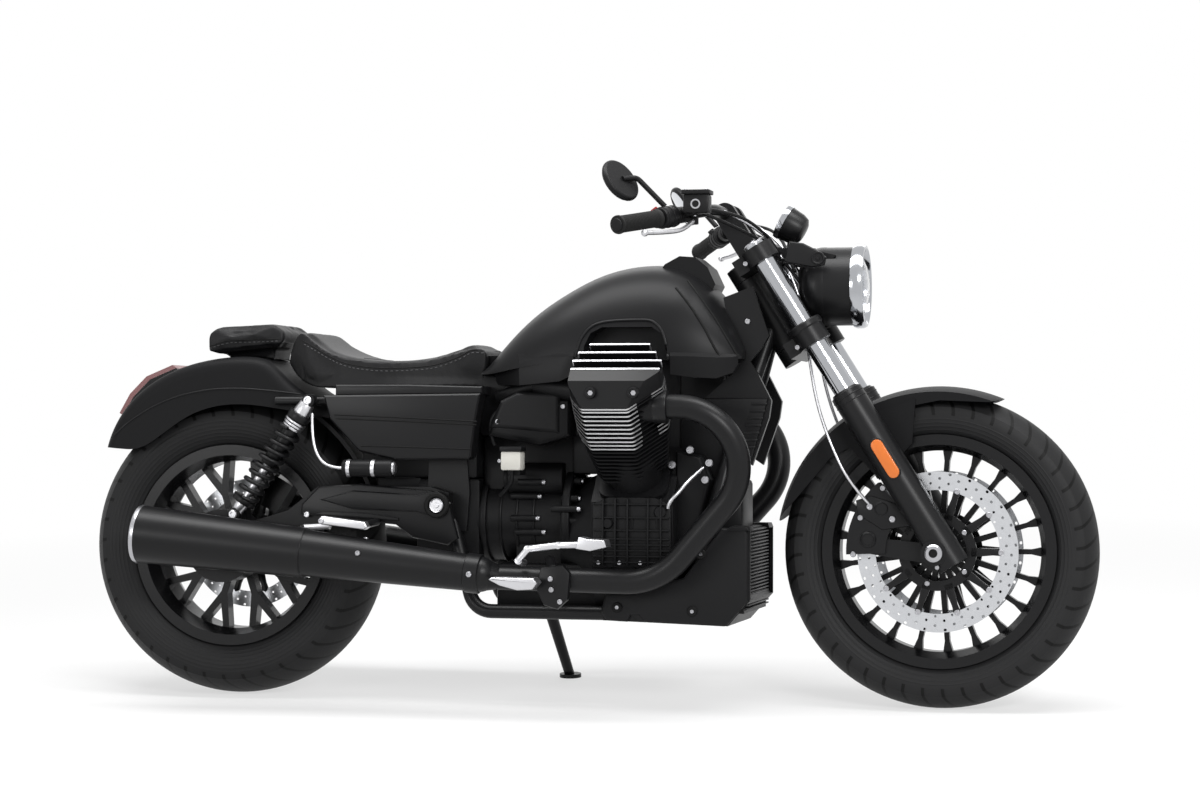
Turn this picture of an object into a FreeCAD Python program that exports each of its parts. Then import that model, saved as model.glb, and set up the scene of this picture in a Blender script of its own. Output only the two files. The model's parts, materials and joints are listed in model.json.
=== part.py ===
import FreeCAD, Part
import math
import os
from types import SimpleNamespace

import Sketcher
from FreeCAD import Placement, Rotation, Vector

# A cruiser motorcycle in millimetres: +X is forward, +Y is the rider's left and +Z is up.
# Every piece is drawn on the upright machine, whose rear tyre touches the ground at the origin.
# At the end the whole machine leans on its side stand, and the origin moves to the middle of its footprint.

values = {
    # whole machine
    "wheelbase": 1525.0,
    "lean_angle": 5.0,
    "rake_angle": 32.0,
    "axle_offset": 42.0,
    "seat_gap": 0.3,
    "bearing_gap": 0.05,
    "cut_overrun": 8.0,
    # rear wheel
    "rear_tyre_radius": 323.0,
    "rear_tyre_width": 192.0,
    "rear_bead_radius": 203.0,
    "rear_rim_width": 164.0,
    "rear_lip_height": 13.0,
    "rear_hub_radius": 50.0,
    "rear_hub_width": 116.0,
    "rear_spoke_count": 10,
    "rear_spoke_width": 15.0,
    "rear_spoke_depth": 34.0,
    "rear_fork_radius": 112.0,
    "rear_fork_angle": 9.5,
    # front wheel
    "front_tyre_radius": 325.0,
    "front_tyre_width": 126.0,
    "front_bead_radius": 229.0,
    "front_rim_width": 104.0,
    "front_lip_height": 12.0,
    "front_hub_radius": 42.0,
    "front_hub_width": 132.0,
    "front_spoke_count": 21,
    "front_spoke_width": 13.0,
    "front_spoke_depth": 24.0,
    "flange_thickness": 9.0,
    "rim_wall": 9.0,
    "rim_well": 12.0,
    # brakes
    "front_disc_radius": 165.0,
    "front_disc_band": 38.0,
    "rear_disc_radius": 141.0,
    "rear_disc_band": 34.0,
    "disc_thickness": 5.0,
    "carrier_thickness": 7.0,
    "carrier_radius": 92.0,
    "carrier_arm_count": 10,
    "carrier_arm_width": 16.0,
    "disc_hole_radius": 4.0,
    "disc_hole_count": 24,
    "caliper_gap": 5.0,
    "caliper_wall": 19.0,
    "caliper_inner_radius": 104.0,
    "caliper_outer_reach": 20.0,
    "caliper_sweep": 52.0,
    "front_caliper_angle": 156.0,
    "rear_caliper_angle": 52.0,
    # axles
    "front_axle_radius": 12.0,
    "front_axle_bore": 8.0,
    "rear_axle_radius": 12.5,
    # fork
    "fork_spacing": 224.0,
    "leg_ahead": 18.0,
    "stanchion_radius": 23.0,
    "slider_radius": 34.0,
    "slider_top": 373.0,
    "slider_bottom": 42.0,
    "axle_boss_radius": 26.0,
    "lower_yoke_height": 492.0,
    "upper_yoke_height": 694.0,
    "yoke_thickness": 34.0,
    "yoke_ring": 12.0,
    "stanchion_top": 734.0,
    "stem_radius": 17.0,
    "neck_wall": 16.0,
    "neck_gap": 1.0,
    # handlebar
    "bar_radius": 12.0,
    "bar_wall": 2.5,
    "bar_width": 900.0,
    "riser_height": 104.0,
    "bar_setback": 6.0,
    "bar_clamp_spacing": 84.0,
    "bar_clamp_radius": 23.0,
    "bar_clamp_width": 26.0,
    "bar_straight": 170.0,
    "bar_rise": 36.0,
    "bar_pullback": 150.0,
    "bar_bend_radius": 110.0,
    "grip_length": 128.0,
    "grip_radius": 17.0,
    "switch_length": 50.0,
    "switch_radius": 24.0,
}

values.update({
    # mirrors, on the handlebar
    "mirror_radius": 47.0,
    "mirror_thickness": 14.0,
    "mirror_height": 96.0,
    "mirror_reach": 45.0,
    "mirror_turn": 24.0,
    "mirror_stem_radius": 5.5,
    # headlamp, level with the ground
    "lamp_radius": 82.0,
    "lamp_length": 118.0,
    "lamp_rim_length": 20.0,
    "lamp_ahead": 142.0,
    "lamp_height": 560.0,
    "lamp_wall": 4.0,
    "lamp_ear_thickness": 7.0,
    "lamp_ear_height": 44.0,
    "gauge_radius": 42.0,
    "gauge_length": 56.0,
    "gauge_ahead": 96.0,
    "gauge_rise": 48.0,
    "gauge_tilt": 61.0,
    # front fender
    "fender_gap": 13.0,
    "fender_wall": 3.0,
    "fender_width": 150.0,
    "fender_front_angle": 67.0,
    "fender_rear_angle": 171.0,
    "fender_shoulder": 12.0,
    # engine
    "crank_x": 905.0,
    "crank_height": 350.0,
    "case_length": 172.0,
    "case_bottom": 190.0,
    "case_half_width": 150.0,
    "cylinder_angle": 45.0,
    "cylinder_base": 172.0,
    "barrel_radius": 56.0,
    "fin_length": 186.0,
    "fin_width": 136.0,
    "fin_thickness": 4.0,
    "fin_pitch": 12.0,
    "fin_start": 214.0,
    "fin_end": 430.0,
    "fin_corner": 26.0,
    "cover_length": 186.0,
    "cover_height": 42.0,
    "top_fin_pitch": 24.0,
    "top_fin_depth": 15.0,
    "gearbox_radius": 88.0,
    "gearbox_rear": 548.0,
    "bell_radius": 140.0,
    "bell_rear": 735.0,
    "alternator_radius": 84.0,
    "alternator_length": 52.0,
    # exhaust
    "header_radius": 25.0,
    "pipe_wall": 2.5,
    "muffler_front_x": 600.0,
    "muffler_joint_x": 223.0,
    "muffler_rear_x": -144.0,
    "muffler_front_height": 275.0,
    "muffler_rear_height": 350.0,
    "muffler_joint_height": 314.0,
    "muffler_side": 243.0,
    "muffler_front_radius": 37.0,
    "muffler_joint_radius": 49.0,
    "muffler_rear_radius": 61.0,
    "muffler_wall": 3.0,
    "muffler_open": 130.0,
    # swing arm and shocks
    "pivot_x": 485.0,
    "pivot_height": 414.0,
    "arm_inside": 104.0,
    "arm_thickness": 36.0,
    "arm_height": 62.0,
    "hub_housing_radius": 78.0,
    "shock_top_x": 205.0,
    "shock_top_height": 634.0,
    "shock_foot_x": 40.0,
    "shock_foot_height": 392.0,
    "shock_side": 163.0,
    "shock_spring_radius": 27.0,
    "shock_body_radius": 22.0,
    "shock_rod_radius": 9.0,
    "shock_eye_radius": 14.0,
    "shock_eye_width": 26.0,
})

values.update({
    # fuel tank
    "tank_rear_x": 566.0,
    "tank_front_x": 1128.0,
    "tank_bottom": 668.0,
    "tank_band": 50.0,
    "tank_dome": 203.0,
    "tank_width": 372.0,
    "console_rear_x": 940.0,
    "console_length": 120.0,
    "console_width": 116.0,
    "console_rise": 60.0,
    "tank_tunnel_width": 96.0,
    "tank_tunnel_height": 60.0,
    "recess_rear_x": 792.0,
    "recess_front_x": 984.0,
    "recess_height": 118.0,
    "recess_depth": 60.0,
    "recess_corner": 30.0,
    # seat and pad
    "seat_rear_x": 133.0,
    "seat_front_x": 575.0,
    "seat_bottom": 662.0,
    "seat_height": 126.0,
    "seat_width": 316.0,
    "seat_corner": 24.0,
    "pad_rear_x": -50.0,
    "pad_front_x": 128.0,
    "pad_bottom": 736.0,
    "pad_height": 62.0,
    "pad_width": 204.0,
    # rear fender
    "tail_x": -274.0,
    "rear_fender_front_x": 300.0,
    "rear_fender_width": 250.0,
    "rear_fender_wall": 3.0,
    "rear_fender_corner": 26.0,
    # covers
    "side_panel_rear_x": 234.0,
    "side_panel_front_x": 580.0,
    "side_panel_bottom": 512.0,
    "side_panel_top": 640.0,
    "side_panel_inside": 128.0,
    "side_panel_thickness": 40.0,
    "side_panel_corner": 14.0,
    "lower_cover_rear_x": 896.0,
    "lower_cover_front_x": 1142.0,
    "lower_cover_bottom": 170.0,
    "lower_cover_top": 372.0,
    "lower_cover_width": 300.0,
    "lower_cover_wall": 4.0,
    "cooler_thickness": 26.0,
    "neck_cover_inside": 64.0,
    "neck_cover_wall": 14.0,
    # frame
    "tube_radius": 17.0,
    "beam_radius": 26.0,
    "beam_height": 648.0,
    "cradle_height": 206.0,
    "plate_thickness": 12.0,
    # controls
    "peg_side": 330.0,
    "peg_radius": 13.0,
    "peg_x": 705.0,
    "peg_height": 272.0,
    "pedal_reach": 150.0,
    "pedal_radius": 7.0,
    # small reservoirs and lines
    # side stand
    "stand_pivot_x": 640.0,
    "stand_pivot_side": 150.0,
    "stand_pivot_height": 232.0,
    "stand_pin_radius": 7.0,
    "stand_spread": 32.0,
    "stand_leg_radius": 11.0,
    "stand_foot_radius": 24.0,
    "stand_foot_thickness": 8.0,
})

# Shares, along and up, of the shapes that only a curve can describe.
tank_stations_shares = [
    # along, dome height, half width at the crease, crease height in bands
    (0.00, 0.05, 0.56, -0.56),
    (0.07, 0.27, 0.68, -0.50),
    (0.14, 0.45, 0.79, -0.36),
    (0.24, 0.64, 0.89, -0.18),
    (0.36, 0.81, 0.96, -0.04),
    (0.48, 0.94, 0.99, 0.0),
    (0.60, 1.00, 1.00, 0.0),
    (0.72, 0.98, 0.99, 0.02),
    (0.82, 0.86, 0.95, 0.04),
    (0.90, 0.64, 0.88, 0.06),
    (0.96, 0.37, 0.80, 0.06),
    (1.00, 0.10, 0.72, 0.06),
]
tank_dome_shares = [(0.985, 0.22), (0.93, 0.45), (0.80, 0.69), (0.58, 0.88), (0.31, 0.97)]
console_side_shares = [(0.0, 0.35), (0.1, 0.62), (0.36, 0.9), (0.64, 0.86), (0.86, 0.5), (1.0, -0.1), (0.9, -0.5), (0.0, -0.5)]
head_plan_shares = [(-0.36, 0.5), (0.16, 0.5), (0.5, 0.02), (0.5, -0.2), (0.3, -0.62), (-0.3, -0.62), (-0.5, -0.3),
                    (-0.5, 0.26)]
seat_side_shares = [
    (0.00, 0.50), (0.03, 0.80), (0.09, 1.00), (0.15, 0.86), (0.26, 0.60), (0.37, 0.49),
    (0.50, 0.44), (0.63, 0.44), (0.77, 0.53), (0.88, 0.67), (0.96, 0.74), (1.00, 0.66),
]
seat_base_shares = [(1.00, -0.02), (0.60, -0.03), (0.25, -0.03), (0.154, 0.0), (0.052, 0.206), (0.0, 0.46)]
fender_top_shares = [(0.0, 0.65), (0.034, 0.752), (0.18, 0.972), (0.322, 1.087), (0.50, 1.176), (0.752, 1.241),
                     (0.963, 1.258), (1.142, 1.225), (1.26, 1.12), (1.44, 0.99), (1.7, 0.94)]
front_fender_low_shares = [
    (-1.056, 0.157), (-0.905, 0.32), (-0.68, 0.588), (-0.554, 0.658), (-0.363, 0.449), (-0.203, 0.705), (-0.203, 0.862),
    (-0.142, 0.926), (0.018, 0.957), (0.332, 0.945), (0.42, 0.973),
]
neck_cover_shares = [
    (-0.19, 0.56), (0.0, 0.631), (0.108, 0.314), (0.055, 0.234), (-0.012, 0.148), (0.040, 0.062), (0.123, -0.102),
    (0.108, -0.209), (0.0, -0.517), (-0.092, -0.455), (-0.338, -0.111), (-0.098, 0.098),
]
fender_low_shares = [(1.7, 0.83), (1.378, 0.885), (1.167, 0.92), (0.889, 0.938), (0.61, 0.867), (0.40, 0.731),
                     (0.257, 0.65), (0.152, 0.638)]
seat_plan_shares = [(0.00, 0.62), (0.12, 0.80), (0.32, 1.00), (0.55, 0.96), (0.80, 0.70), (1.00, 0.56)]


class Size(float):
    """A number that remembers the sheet formula that it came from."""

    def __new__(cls, number, text=None):
        size = float.__new__(cls, number)
        size.text = repr(float(number)) if text is None else text
        return size

    def combine(self, other, sign, result, swapped=False):
        other_text = other.text if isinstance(other, Size) else repr(float(other))
        first, second = (other_text, self.text) if swapped else (self.text, other_text)
        return Size(result, "(%s %s %s)" % (first, sign, second))

    def __add__(self, other):
        return self.combine(other, "+", float(self) + float(other))

    def __radd__(self, other):
        return self.combine(other, "+", float(other) + float(self), True)

    def __sub__(self, other):
        return self.combine(other, "-", float(self) - float(other))

    def __rsub__(self, other):
        return self.combine(other, "-", float(other) - float(self), True)

    def __mul__(self, other):
        return self.combine(other, "*", float(self) * float(other))

    def __rmul__(self, other):
        return self.combine(other, "*", float(other) * float(self), True)

    def __truediv__(self, other):
        return self.combine(other, "/", float(self) / float(other))

    def __neg__(self):
        return Size(-float(self), "(0 - %s)" % self.text)


document = FreeCAD.newDocument("Cruiser")
sheet = document.addObject("Spreadsheet::Sheet", "Sizes")
for row, (alias, number) in enumerate(values.items(), start=1):
    sheet.set("A%d" % row, alias)
    sheet.set("B%d" % row, str(number))
    sheet.setAlias("B%d" % row, alias)
document.recompute()
s = SimpleNamespace(**{alias: Size(sheet.get(alias), "Sizes." + alias) for alias in values})

rake = math.radians(s.rake_angle)
x_axis = Vector(1, 0, 0)
y_axis = Vector(0, 1, 0)
z_axis = Vector(0, 0, 1)
bike_frame = Placement()
rear_frame = Placement(Vector(0, 0, s.rear_tyre_radius), Rotation())
front_frame = Placement(Vector(s.wheelbase, 0, s.front_tyre_radius), Rotation())
# The fork is drawn upright about the front axle and then raked back.
fork_frame = Placement(front_frame.Base, Rotation(y_axis, -s.rake_angle))
pieces = []


def add_piece(piece, label, frame):
    """Name a finished piece and place it on the upright machine."""
    piece.Label = label
    piece.Placement = frame
    pieces.append(piece)
    return piece


def add_shape(label, shape, frame=bike_frame):
    """A piece whose form only Part's own functions can make."""
    piece = document.addObject("Part::Feature", "shape_" + label)
    merged = shape.copy().removeSplitter()
    piece.Shape = merged if merged.isValid() else shape.copy()
    return add_piece(piece, label, frame)


def add_pair(label, left, frame=bike_frame):
    """Two like pieces that share a node: the left one and its mirror image."""
    return add_shape(label, Part.Compound([left, mirrored(left)]), frame)


def bind(thing, prop, size):
    thing.setExpression(prop, size.text if isinstance(size, Size) else repr(float(size)))


def new_body(label):
    return document.addObject("PartDesign::Body", "body_" + label)


def origin_item(body, role):
    return [item for item in body.Origin.OriginFeatures if item.Role == role][0]


def new_sketch(body, plane, shift=None):
    sketch = body.newObject("Sketcher::SketchObject", body.Name + "_sketch")
    sketch.AttachmentSupport = [(origin_item(body, plane), "")]
    sketch.MapMode = "FlatFace"
    if shift is not None:
        bind(sketch, ".AttachmentOffset.Base.z", shift)
    return sketch


def pin_point(sketch, index, corner, point):
    for kind, value in (("DistanceX", point[0]), ("DistanceY", point[1])):
        number = sketch.addConstraint(Sketcher.Constraint(kind, -1, 1, index, corner, float(value)))
        if isinstance(value, Size):
            sketch.setExpression("Constraints[%d]" % number, value.text)


def arc_centre(start, end, radius):
    """Centre of the arc from start to end; a positive radius bulges to the right of the way."""
    middle = Vector((start[0] + end[0]) / 2, (start[1] + end[1]) / 2, 0)
    chord = Vector(end[0] - start[0], end[1] - start[1], 0)
    side = Vector(-chord.y, chord.x, 0).normalize()
    rise = math.sqrt(max(0.0, float(radius) ** 2 - (chord.Length / 2) ** 2))
    return middle + side * (rise if radius > 0 else -rise)


def outline(sketch, points):
    """A closed outline. A point is (x, y), or (x, y, radius) where an arc leads to it."""
    first = sketch.GeometryCount
    count = len(points)
    ends = []
    for i, point in enumerate(points):
        before = points[i - 1]
        start, end = Vector(before[0], before[1], 0), Vector(point[0], point[1], 0)
        if len(point) == 2:
            sketch.addGeometry(Part.LineSegment(start, end))
            ends.append((1, 2))
            continue
        centre = arc_centre(before, point, point[2])
        circle = Part.Circle(centre, z_axis, abs(float(point[2])))
        forward = point[2] > 0
        one, two = (start, end) if forward else (end, start)
        sketch.addGeometry(Part.ArcOfCircle(circle, circle.parameter(one), circle.parameter(two)))
        ends.append((1, 2) if forward else (2, 1))
    for i in range(count):
        after = (i + 1) % count
        sketch.addConstraint(Sketcher.Constraint("Coincident", first + i, ends[i][1], first + after, ends[after][0]))
    for i, point in enumerate(points):
        pin_point(sketch, first + i, ends[i][1], point)
        if len(point) == 3:
            size = abs(float(point[2]))
            number = sketch.addConstraint(Sketcher.Constraint("Radius", first + i, size))
            if isinstance(point[2], Size):
                text = point[2].text if point[2] > 0 else "(0 - %s)" % point[2].text
                sketch.setExpression("Constraints[%d]" % number, text)


def ring(sketch, radius, centre=(0, 0)):
    index = sketch.addGeometry(Part.Circle(Vector(centre[0], centre[1], 0), z_axis, float(radius)))
    number = sketch.addConstraint(Sketcher.Constraint("Radius", index, float(radius)))
    if isinstance(radius, Size):
        sketch.setExpression("Constraints[%d]" % number, radius.text)
    pin_point(sketch, index, 3, centre)


def pad(body, sketch, length, both_ways=True, reverse=False):
    feature = body.newObject("PartDesign::Pad", body.Name + "_pad")
    feature.Profile = sketch
    bind(feature, "Length", length)
    feature.SideType = "Symmetric" if both_ways else "One side"
    feature.Reversed = reverse
    body.Tip = feature
    return feature


def pocket(body, sketch, length, both_ways=True, reverse=False):
    feature = body.newObject("PartDesign::Pocket", body.Name + "_pocket")
    feature.Profile = sketch
    bind(feature, "Length", length)
    feature.SideType = "Symmetric" if both_ways else "One side"
    feature.Reversed = reverse
    body.Tip = feature
    return feature


def revolve(body, sketch, axis="V_Axis", angle=None):
    feature = body.newObject("PartDesign::Revolution", body.Name + "_revolution")
    feature.Profile = sketch
    feature.ReferenceAxis = (sketch, [axis])
    if angle is None:
        feature.Angle = 360
    else:
        bind(feature, "Angle", angle)
    body.Tip = feature
    return feature


def polar(body, features, count, role="Y_Axis"):
    pattern = body.newObject("PartDesign::PolarPattern", body.Name + "_polar")
    pattern.Originals = features
    pattern.Axis = (origin_item(body, role), [""])
    pattern.Angle = 360
    bind(pattern, "Occurrences", count)
    body.Tip = pattern
    return pattern


def linear(body, features, length, count, role="Z_Axis"):
    pattern = body.newObject("PartDesign::LinearPattern", body.Name + "_linear")
    pattern.Originals = features
    pattern.Direction = (origin_item(body, role), [""])
    bind(pattern, "Length", length)
    pattern.Occurrences = count
    body.Tip = pattern
    return pattern


def rod(start, end, radius, inner=0):
    """A round bar or tube between two points."""
    way = Vector(*end) - Vector(*start)
    bar = Part.makeCylinder(radius, way.Length, Vector(*start), way)
    if inner:
        bar = bar.cut(Part.makeCylinder(inner, way.Length, Vector(*start), way))
    return bar


def block(low, high):
    low, high = Vector(*low), Vector(*high)
    return Part.makeBox(high.x - low.x, high.y - low.y, high.z - low.z, low)


def bent_path(points, bend):
    """Straight runs through the points, with a tangent arc of radius bend at each corner."""
    points = [Vector(*point) for point in points]
    edges = []
    start = points[0]
    for before, corner, after in zip(points, points[1:], points[2:]):
        back, ahead = (before - corner).normalize(), (after - corner).normalize()
        half = back.getAngle(ahead) / 2
        reach = bend / math.tan(half)
        one, two = corner + back * reach, corner + ahead * reach
        centre = corner + (back + ahead).normalize() * (bend / math.sin(half))
        middle = centre + (corner - centre).normalize() * bend
        if (one - start).Length > s.bearing_gap:
            edges.append(Part.LineSegment(start, one).toShape())
        edges.append(Part.Arc(one, middle, two).toShape())
        start = two
    edges.append(Part.LineSegment(start, points[-1]).toShape())
    return Part.Wire(edges)


def tube(points, radius, bend, inner=0):
    """A bent round tube along straight runs and arcs."""
    path = bent_path(points, bend)
    way = Vector(*points[1]) - Vector(*points[0])

    def skin(size):
        profile = Part.Wire([Part.makeCircle(size, Vector(*points[0]), way)])
        sweep = path.makePipeShell([profile], True, False)
        return sweep

    solid = skin(radius)
    return solid.cut(skin(inner)) if inner else solid


def joined(shapes):
    whole = shapes[0]
    for shape in shapes[1:]:
        whole = whole.fuse(shape)
    return whole


def mirrored(shape):
    """The same shape on the machine's other side."""
    return shape.mirror(Vector(0, 0, 0), y_axis)


def prism(points, thickness, at=0):
    """A plate cut to an outline of (along, up) points, standing in the machine's side plane."""
    wire = Part.makePolygon([Vector(x, at, z) for x, z in points] + [Vector(points[0][0], at, points[0][1])])
    return Part.Face(wire).extrude(Vector(0, thickness, 0))


def smooth_edge(points):
    curve = Part.BSplineCurve()
    curve.interpolate([Vector(*point) for point in points])
    return curve.toShape()


def rounded(shape, radius, choose):
    """Fillet the edges that choose picks."""
    edges = [edge for edge in shape.Edges if choose(edge)]
    return shape.makeFillet(radius, edges)


# Wheels. Each is drawn about its own axle, which lies along Y.

def make_tyre(label, frame, radius, width, bead_radius, bead_width, lip_height):
    body = new_body(label)
    sketch = new_sketch(body, "XY_Plane")
    lip = bead_radius + lip_height + s.seat_gap
    wall_radius = bead_radius + (radius - bead_radius) * 0.72
    edge = width * 0.465
    crown = radius - wall_radius
    crown_radius = (edge * edge + crown * crown) / (crown * 2)
    side_radius = (wall_radius - lip) * 0.86
    outline(sketch, [
        (bead_radius, -bead_width / 2),
        (lip, -bead_width / 2),
        (wall_radius, -edge, side_radius),
        (wall_radius, edge, crown_radius),
        (lip, bead_width / 2, side_radius),
        (bead_radius, bead_width / 2),
    ])
    revolve(body, sketch)
    return add_piece(body, label, frame)


def rim_sections(body, bead_radius, rim_width, lip_height):
    """The barrel with its two flanges and the drop in the middle."""
    half = rim_width / 2
    seat = bead_radius - s.seat_gap
    flange = half - s.flange_thickness
    lip = bead_radius + lip_height
    floor = seat - s.rim_wall
    well = half * 0.45
    sketch = new_sketch(body, "XY_Plane")
    outline(sketch, [
        (floor, -half), (lip, -half), (lip, -flange), (seat, -flange), (seat, flange), (lip, flange),
        (lip, half), (floor, half), (floor - s.rim_well, well), (floor - s.rim_well, -well),
    ])
    revolve(body, sketch)
    return floor - s.rim_well


def make_front_rim():
    body = new_body("front_rim")
    inside = rim_sections(body, s.front_bead_radius, s.front_rim_width, s.front_lip_height)
    half = s.front_spoke_width / 2
    sketch = new_sketch(body, "XZ_Plane")
    outline(sketch, [
        (s.front_hub_radius * 0.8, -half), (inside * 0.9, -half * 0.8), (inside + s.rim_wall, -half * 1.8),
        (inside + s.rim_wall, half * 1.8), (inside * 0.9, half * 0.8), (s.front_hub_radius * 0.8, half),
    ])
    spoke = pad(body, sketch, s.front_spoke_depth)
    polar(body, [spoke], s.front_spoke_count)
    hub_sketch = new_sketch(body, "XZ_Plane")
    ring(hub_sketch, s.front_hub_radius)
    pad(body, hub_sketch, s.front_hub_width)
    bore_sketch = new_sketch(body, "XZ_Plane")
    ring(bore_sketch, s.front_axle_radius + s.bearing_gap)
    pocket(body, bore_sketch, s.front_hub_width + s.cut_overrun)
    return add_piece(body, "front_rim", front_frame)


def make_rear_rim():
    body = new_body("rear_rim")
    inside = rim_sections(body, s.rear_bead_radius, s.rear_rim_width, s.rear_lip_height)
    half = s.rear_spoke_width / 2
    reach = inside + s.rim_wall
    spread = reach * math.sin(math.radians(s.rear_fork_angle))
    fork = s.rear_fork_radius
    sketch = new_sketch(body, "XZ_Plane")
    outline(sketch, [
        (s.rear_hub_radius * 0.8, -half), (fork, -half), (reach, -spread - half), (reach, half - spread),
        (fork + s.rear_spoke_width * 1.6, 0), (reach, spread - half), (reach, spread + half), (fork, half),
        (s.rear_hub_radius * 0.8, half),
    ])
    spoke = pad(body, sketch, s.rear_spoke_depth)
    polar(body, [spoke], s.rear_spoke_count)
    hub_sketch = new_sketch(body, "XZ_Plane")
    ring(hub_sketch, s.rear_hub_radius)
    pad(body, hub_sketch, s.rear_hub_width)
    bore_sketch = new_sketch(body, "XZ_Plane")
    ring(bore_sketch, s.rear_axle_radius + s.bearing_gap)
    pocket(body, bore_sketch, s.rear_hub_width + s.cut_overrun)
    return add_piece(body, "rear_rim", rear_frame)


def make_discs(label, frame, radius, band, sides, bore):
    """Drilled steel rings on black stars. Each side is a disc's middle off the machine's middle."""
    body = new_body(label)
    body.AllowCompound = True
    arm = s.carrier_arm_width / 2
    reach = radius - band
    for side in sides:
        sketch = new_sketch(body, "XZ_Plane", -side)
        ring(sketch, radius)
        ring(sketch, reach)
        pad(body, sketch, s.disc_thickness)
        hole_sketch = new_sketch(body, "XZ_Plane", -side)
        ring(hole_sketch, s.disc_hole_radius, (radius - band * 0.3, 0))
        outer = pocket(body, hole_sketch, s.disc_thickness + s.cut_overrun)
        polar(body, [outer], s.disc_hole_count)
        star_sketch = new_sketch(body, "XZ_Plane", -side)
        ring(star_sketch, s.carrier_radius * (radius / s.front_disc_radius))
        pad(body, star_sketch, s.carrier_thickness)
        arm_sketch = new_sketch(body, "XZ_Plane", -side)
        outline(arm_sketch, [
            (s.front_hub_radius, -arm), (reach + s.disc_thickness, -arm), (reach + s.disc_thickness, arm),
            (s.front_hub_radius, arm),
        ])
        one = pad(body, arm_sketch, s.carrier_thickness)
        polar(body, [one], s.carrier_arm_count)
        bore_sketch = new_sketch(body, "XZ_Plane", -side)
        ring(bore_sketch, bore)
        pocket(body, bore_sketch, s.carrier_thickness + s.cut_overrun)
    return add_piece(body, label, frame)


front_disc_side = s.front_hub_width / 2 + s.carrier_thickness / 2
rear_disc_side = s.rear_hub_width / 2 + s.carrier_thickness / 2


def make_wheels():
    flange = s.flange_thickness + s.seat_gap
    make_tyre("rear_tyre", rear_frame, s.rear_tyre_radius, s.rear_tyre_width, s.rear_bead_radius,
              s.rear_rim_width - flange * 2, s.rear_lip_height)
    make_tyre("front_tyre", front_frame, s.front_tyre_radius, s.front_tyre_width, s.front_bead_radius,
              s.front_rim_width - flange * 2, s.front_lip_height)
    make_front_rim()
    make_rear_rim()
    make_discs("front_discs", front_frame, s.front_disc_radius, s.front_disc_band,
               (front_disc_side, -front_disc_side), s.front_axle_radius + s.bearing_gap)
    make_discs("rear_disc", rear_frame, s.rear_disc_radius, s.rear_disc_band,
               (rear_disc_side,), s.rear_axle_radius + s.bearing_gap)


make_wheels()


# Steering group, drawn upright about the front axle: x ahead, z up along the fork legs.

leg_side = s.fork_spacing / 2
bar_height = s.upper_yoke_height + s.yoke_thickness + s.riser_height
gauge_height = s.upper_yoke_height + s.gauge_rise
stem_x = -s.axle_offset
leg_x = s.leg_ahead


def make_front_axle():
    reach = leg_side + s.axle_boss_radius + s.seat_gap
    axle = rod((0, -reach, 0), (0, reach, 0), s.front_axle_radius, s.front_axle_bore)
    return add_shape("front_axle", axle, front_frame)


def make_sliders():
    """The black lower legs, each with the boss that clamps the axle."""
    legs = []
    for side in (-leg_side, leg_side):
        leg = rod((leg_x, side, -s.slider_bottom), (leg_x, side, s.slider_top), s.slider_radius)
        boss = rod((0, side - s.slider_radius, 0), (0, side + s.slider_radius, 0), s.axle_boss_radius)
        neck_low = (0, side - s.axle_boss_radius, -s.axle_boss_radius)
        neck = block(neck_low, (leg_x, side + s.axle_boss_radius, s.axle_boss_radius))
        hole = rod((0, side - s.fork_spacing, 0), (0, side + s.fork_spacing, 0), s.front_axle_radius)
        legs.append(joined([leg, boss, neck]).cut(hole))
    return add_shape("fork_sliders", Part.Compound(legs), fork_frame)


def make_stanchions():
    legs = [rod((leg_x, side, s.slider_top), (leg_x, side, s.stanchion_top), s.stanchion_radius)
            for side in (-leg_side, leg_side)]
    return add_shape("fork_stanchions", Part.Compound(legs), fork_frame)


def yoke(height):
    """One fork yoke: a ring round each leg, a bridge between them and a boss round the stem."""
    ring_radius = s.stanchion_radius + s.yoke_ring
    top = height + s.yoke_thickness
    parts = [rod((leg_x, side, height), (leg_x, side, top), ring_radius) for side in (-leg_side, leg_side)]
    parts.append(rod((stem_x, 0, height), (stem_x, 0, top), s.stem_radius + s.neck_wall))
    bridge = prism([(stem_x, height), (leg_x + s.yoke_ring, height), (leg_x + s.yoke_ring, top), (stem_x, top)],
                   s.fork_spacing, -leg_side)
    parts.append(bridge)
    plate = joined(parts)
    for side in (-leg_side, leg_side):
        plate = plate.cut(rod((leg_x, side, height - s.yoke_ring), (leg_x, side, top + s.yoke_ring),
                              s.stanchion_radius))
    return plate


def make_yokes():
    lower = yoke(s.lower_yoke_height)
    upper = yoke(s.upper_yoke_height)
    stem = rod((stem_x, 0, s.lower_yoke_height), (stem_x, 0, s.upper_yoke_height + s.yoke_thickness), s.stem_radius)
    risers = []
    top = s.upper_yoke_height + s.yoke_thickness
    for side in (-s.bar_clamp_spacing / 2, s.bar_clamp_spacing / 2):
        low = side - s.bar_clamp_width / 2
        high = side + s.bar_clamp_width / 2
        post = prism([(-s.bar_clamp_radius, top), (s.bar_clamp_radius, top), (s.bar_clamp_radius, bar_height),
                      (-s.bar_clamp_radius, bar_height)], s.bar_clamp_width, low)
        head = rod((0, low, bar_height), (0, high, bar_height), s.bar_clamp_radius)
        hole = rod((0, low - s.cut_overrun, bar_height), (0, high + s.cut_overrun, bar_height), s.bar_radius)
        riser = joined([post, head]).cut(hole)
        riser.translate(Vector(-s.bar_setback, 0, 0))
        risers.append(riser)
    return add_shape("fork_yokes", joined([lower, upper, stem] + risers), fork_frame)


bar_end_x = -s.bar_setback - s.bar_pullback
bar_end_height = bar_height + s.bar_rise
grip_way = Vector(-s.bar_pullback, s.bar_width / 2 - s.bar_straight, s.bar_rise).normalize()


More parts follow.
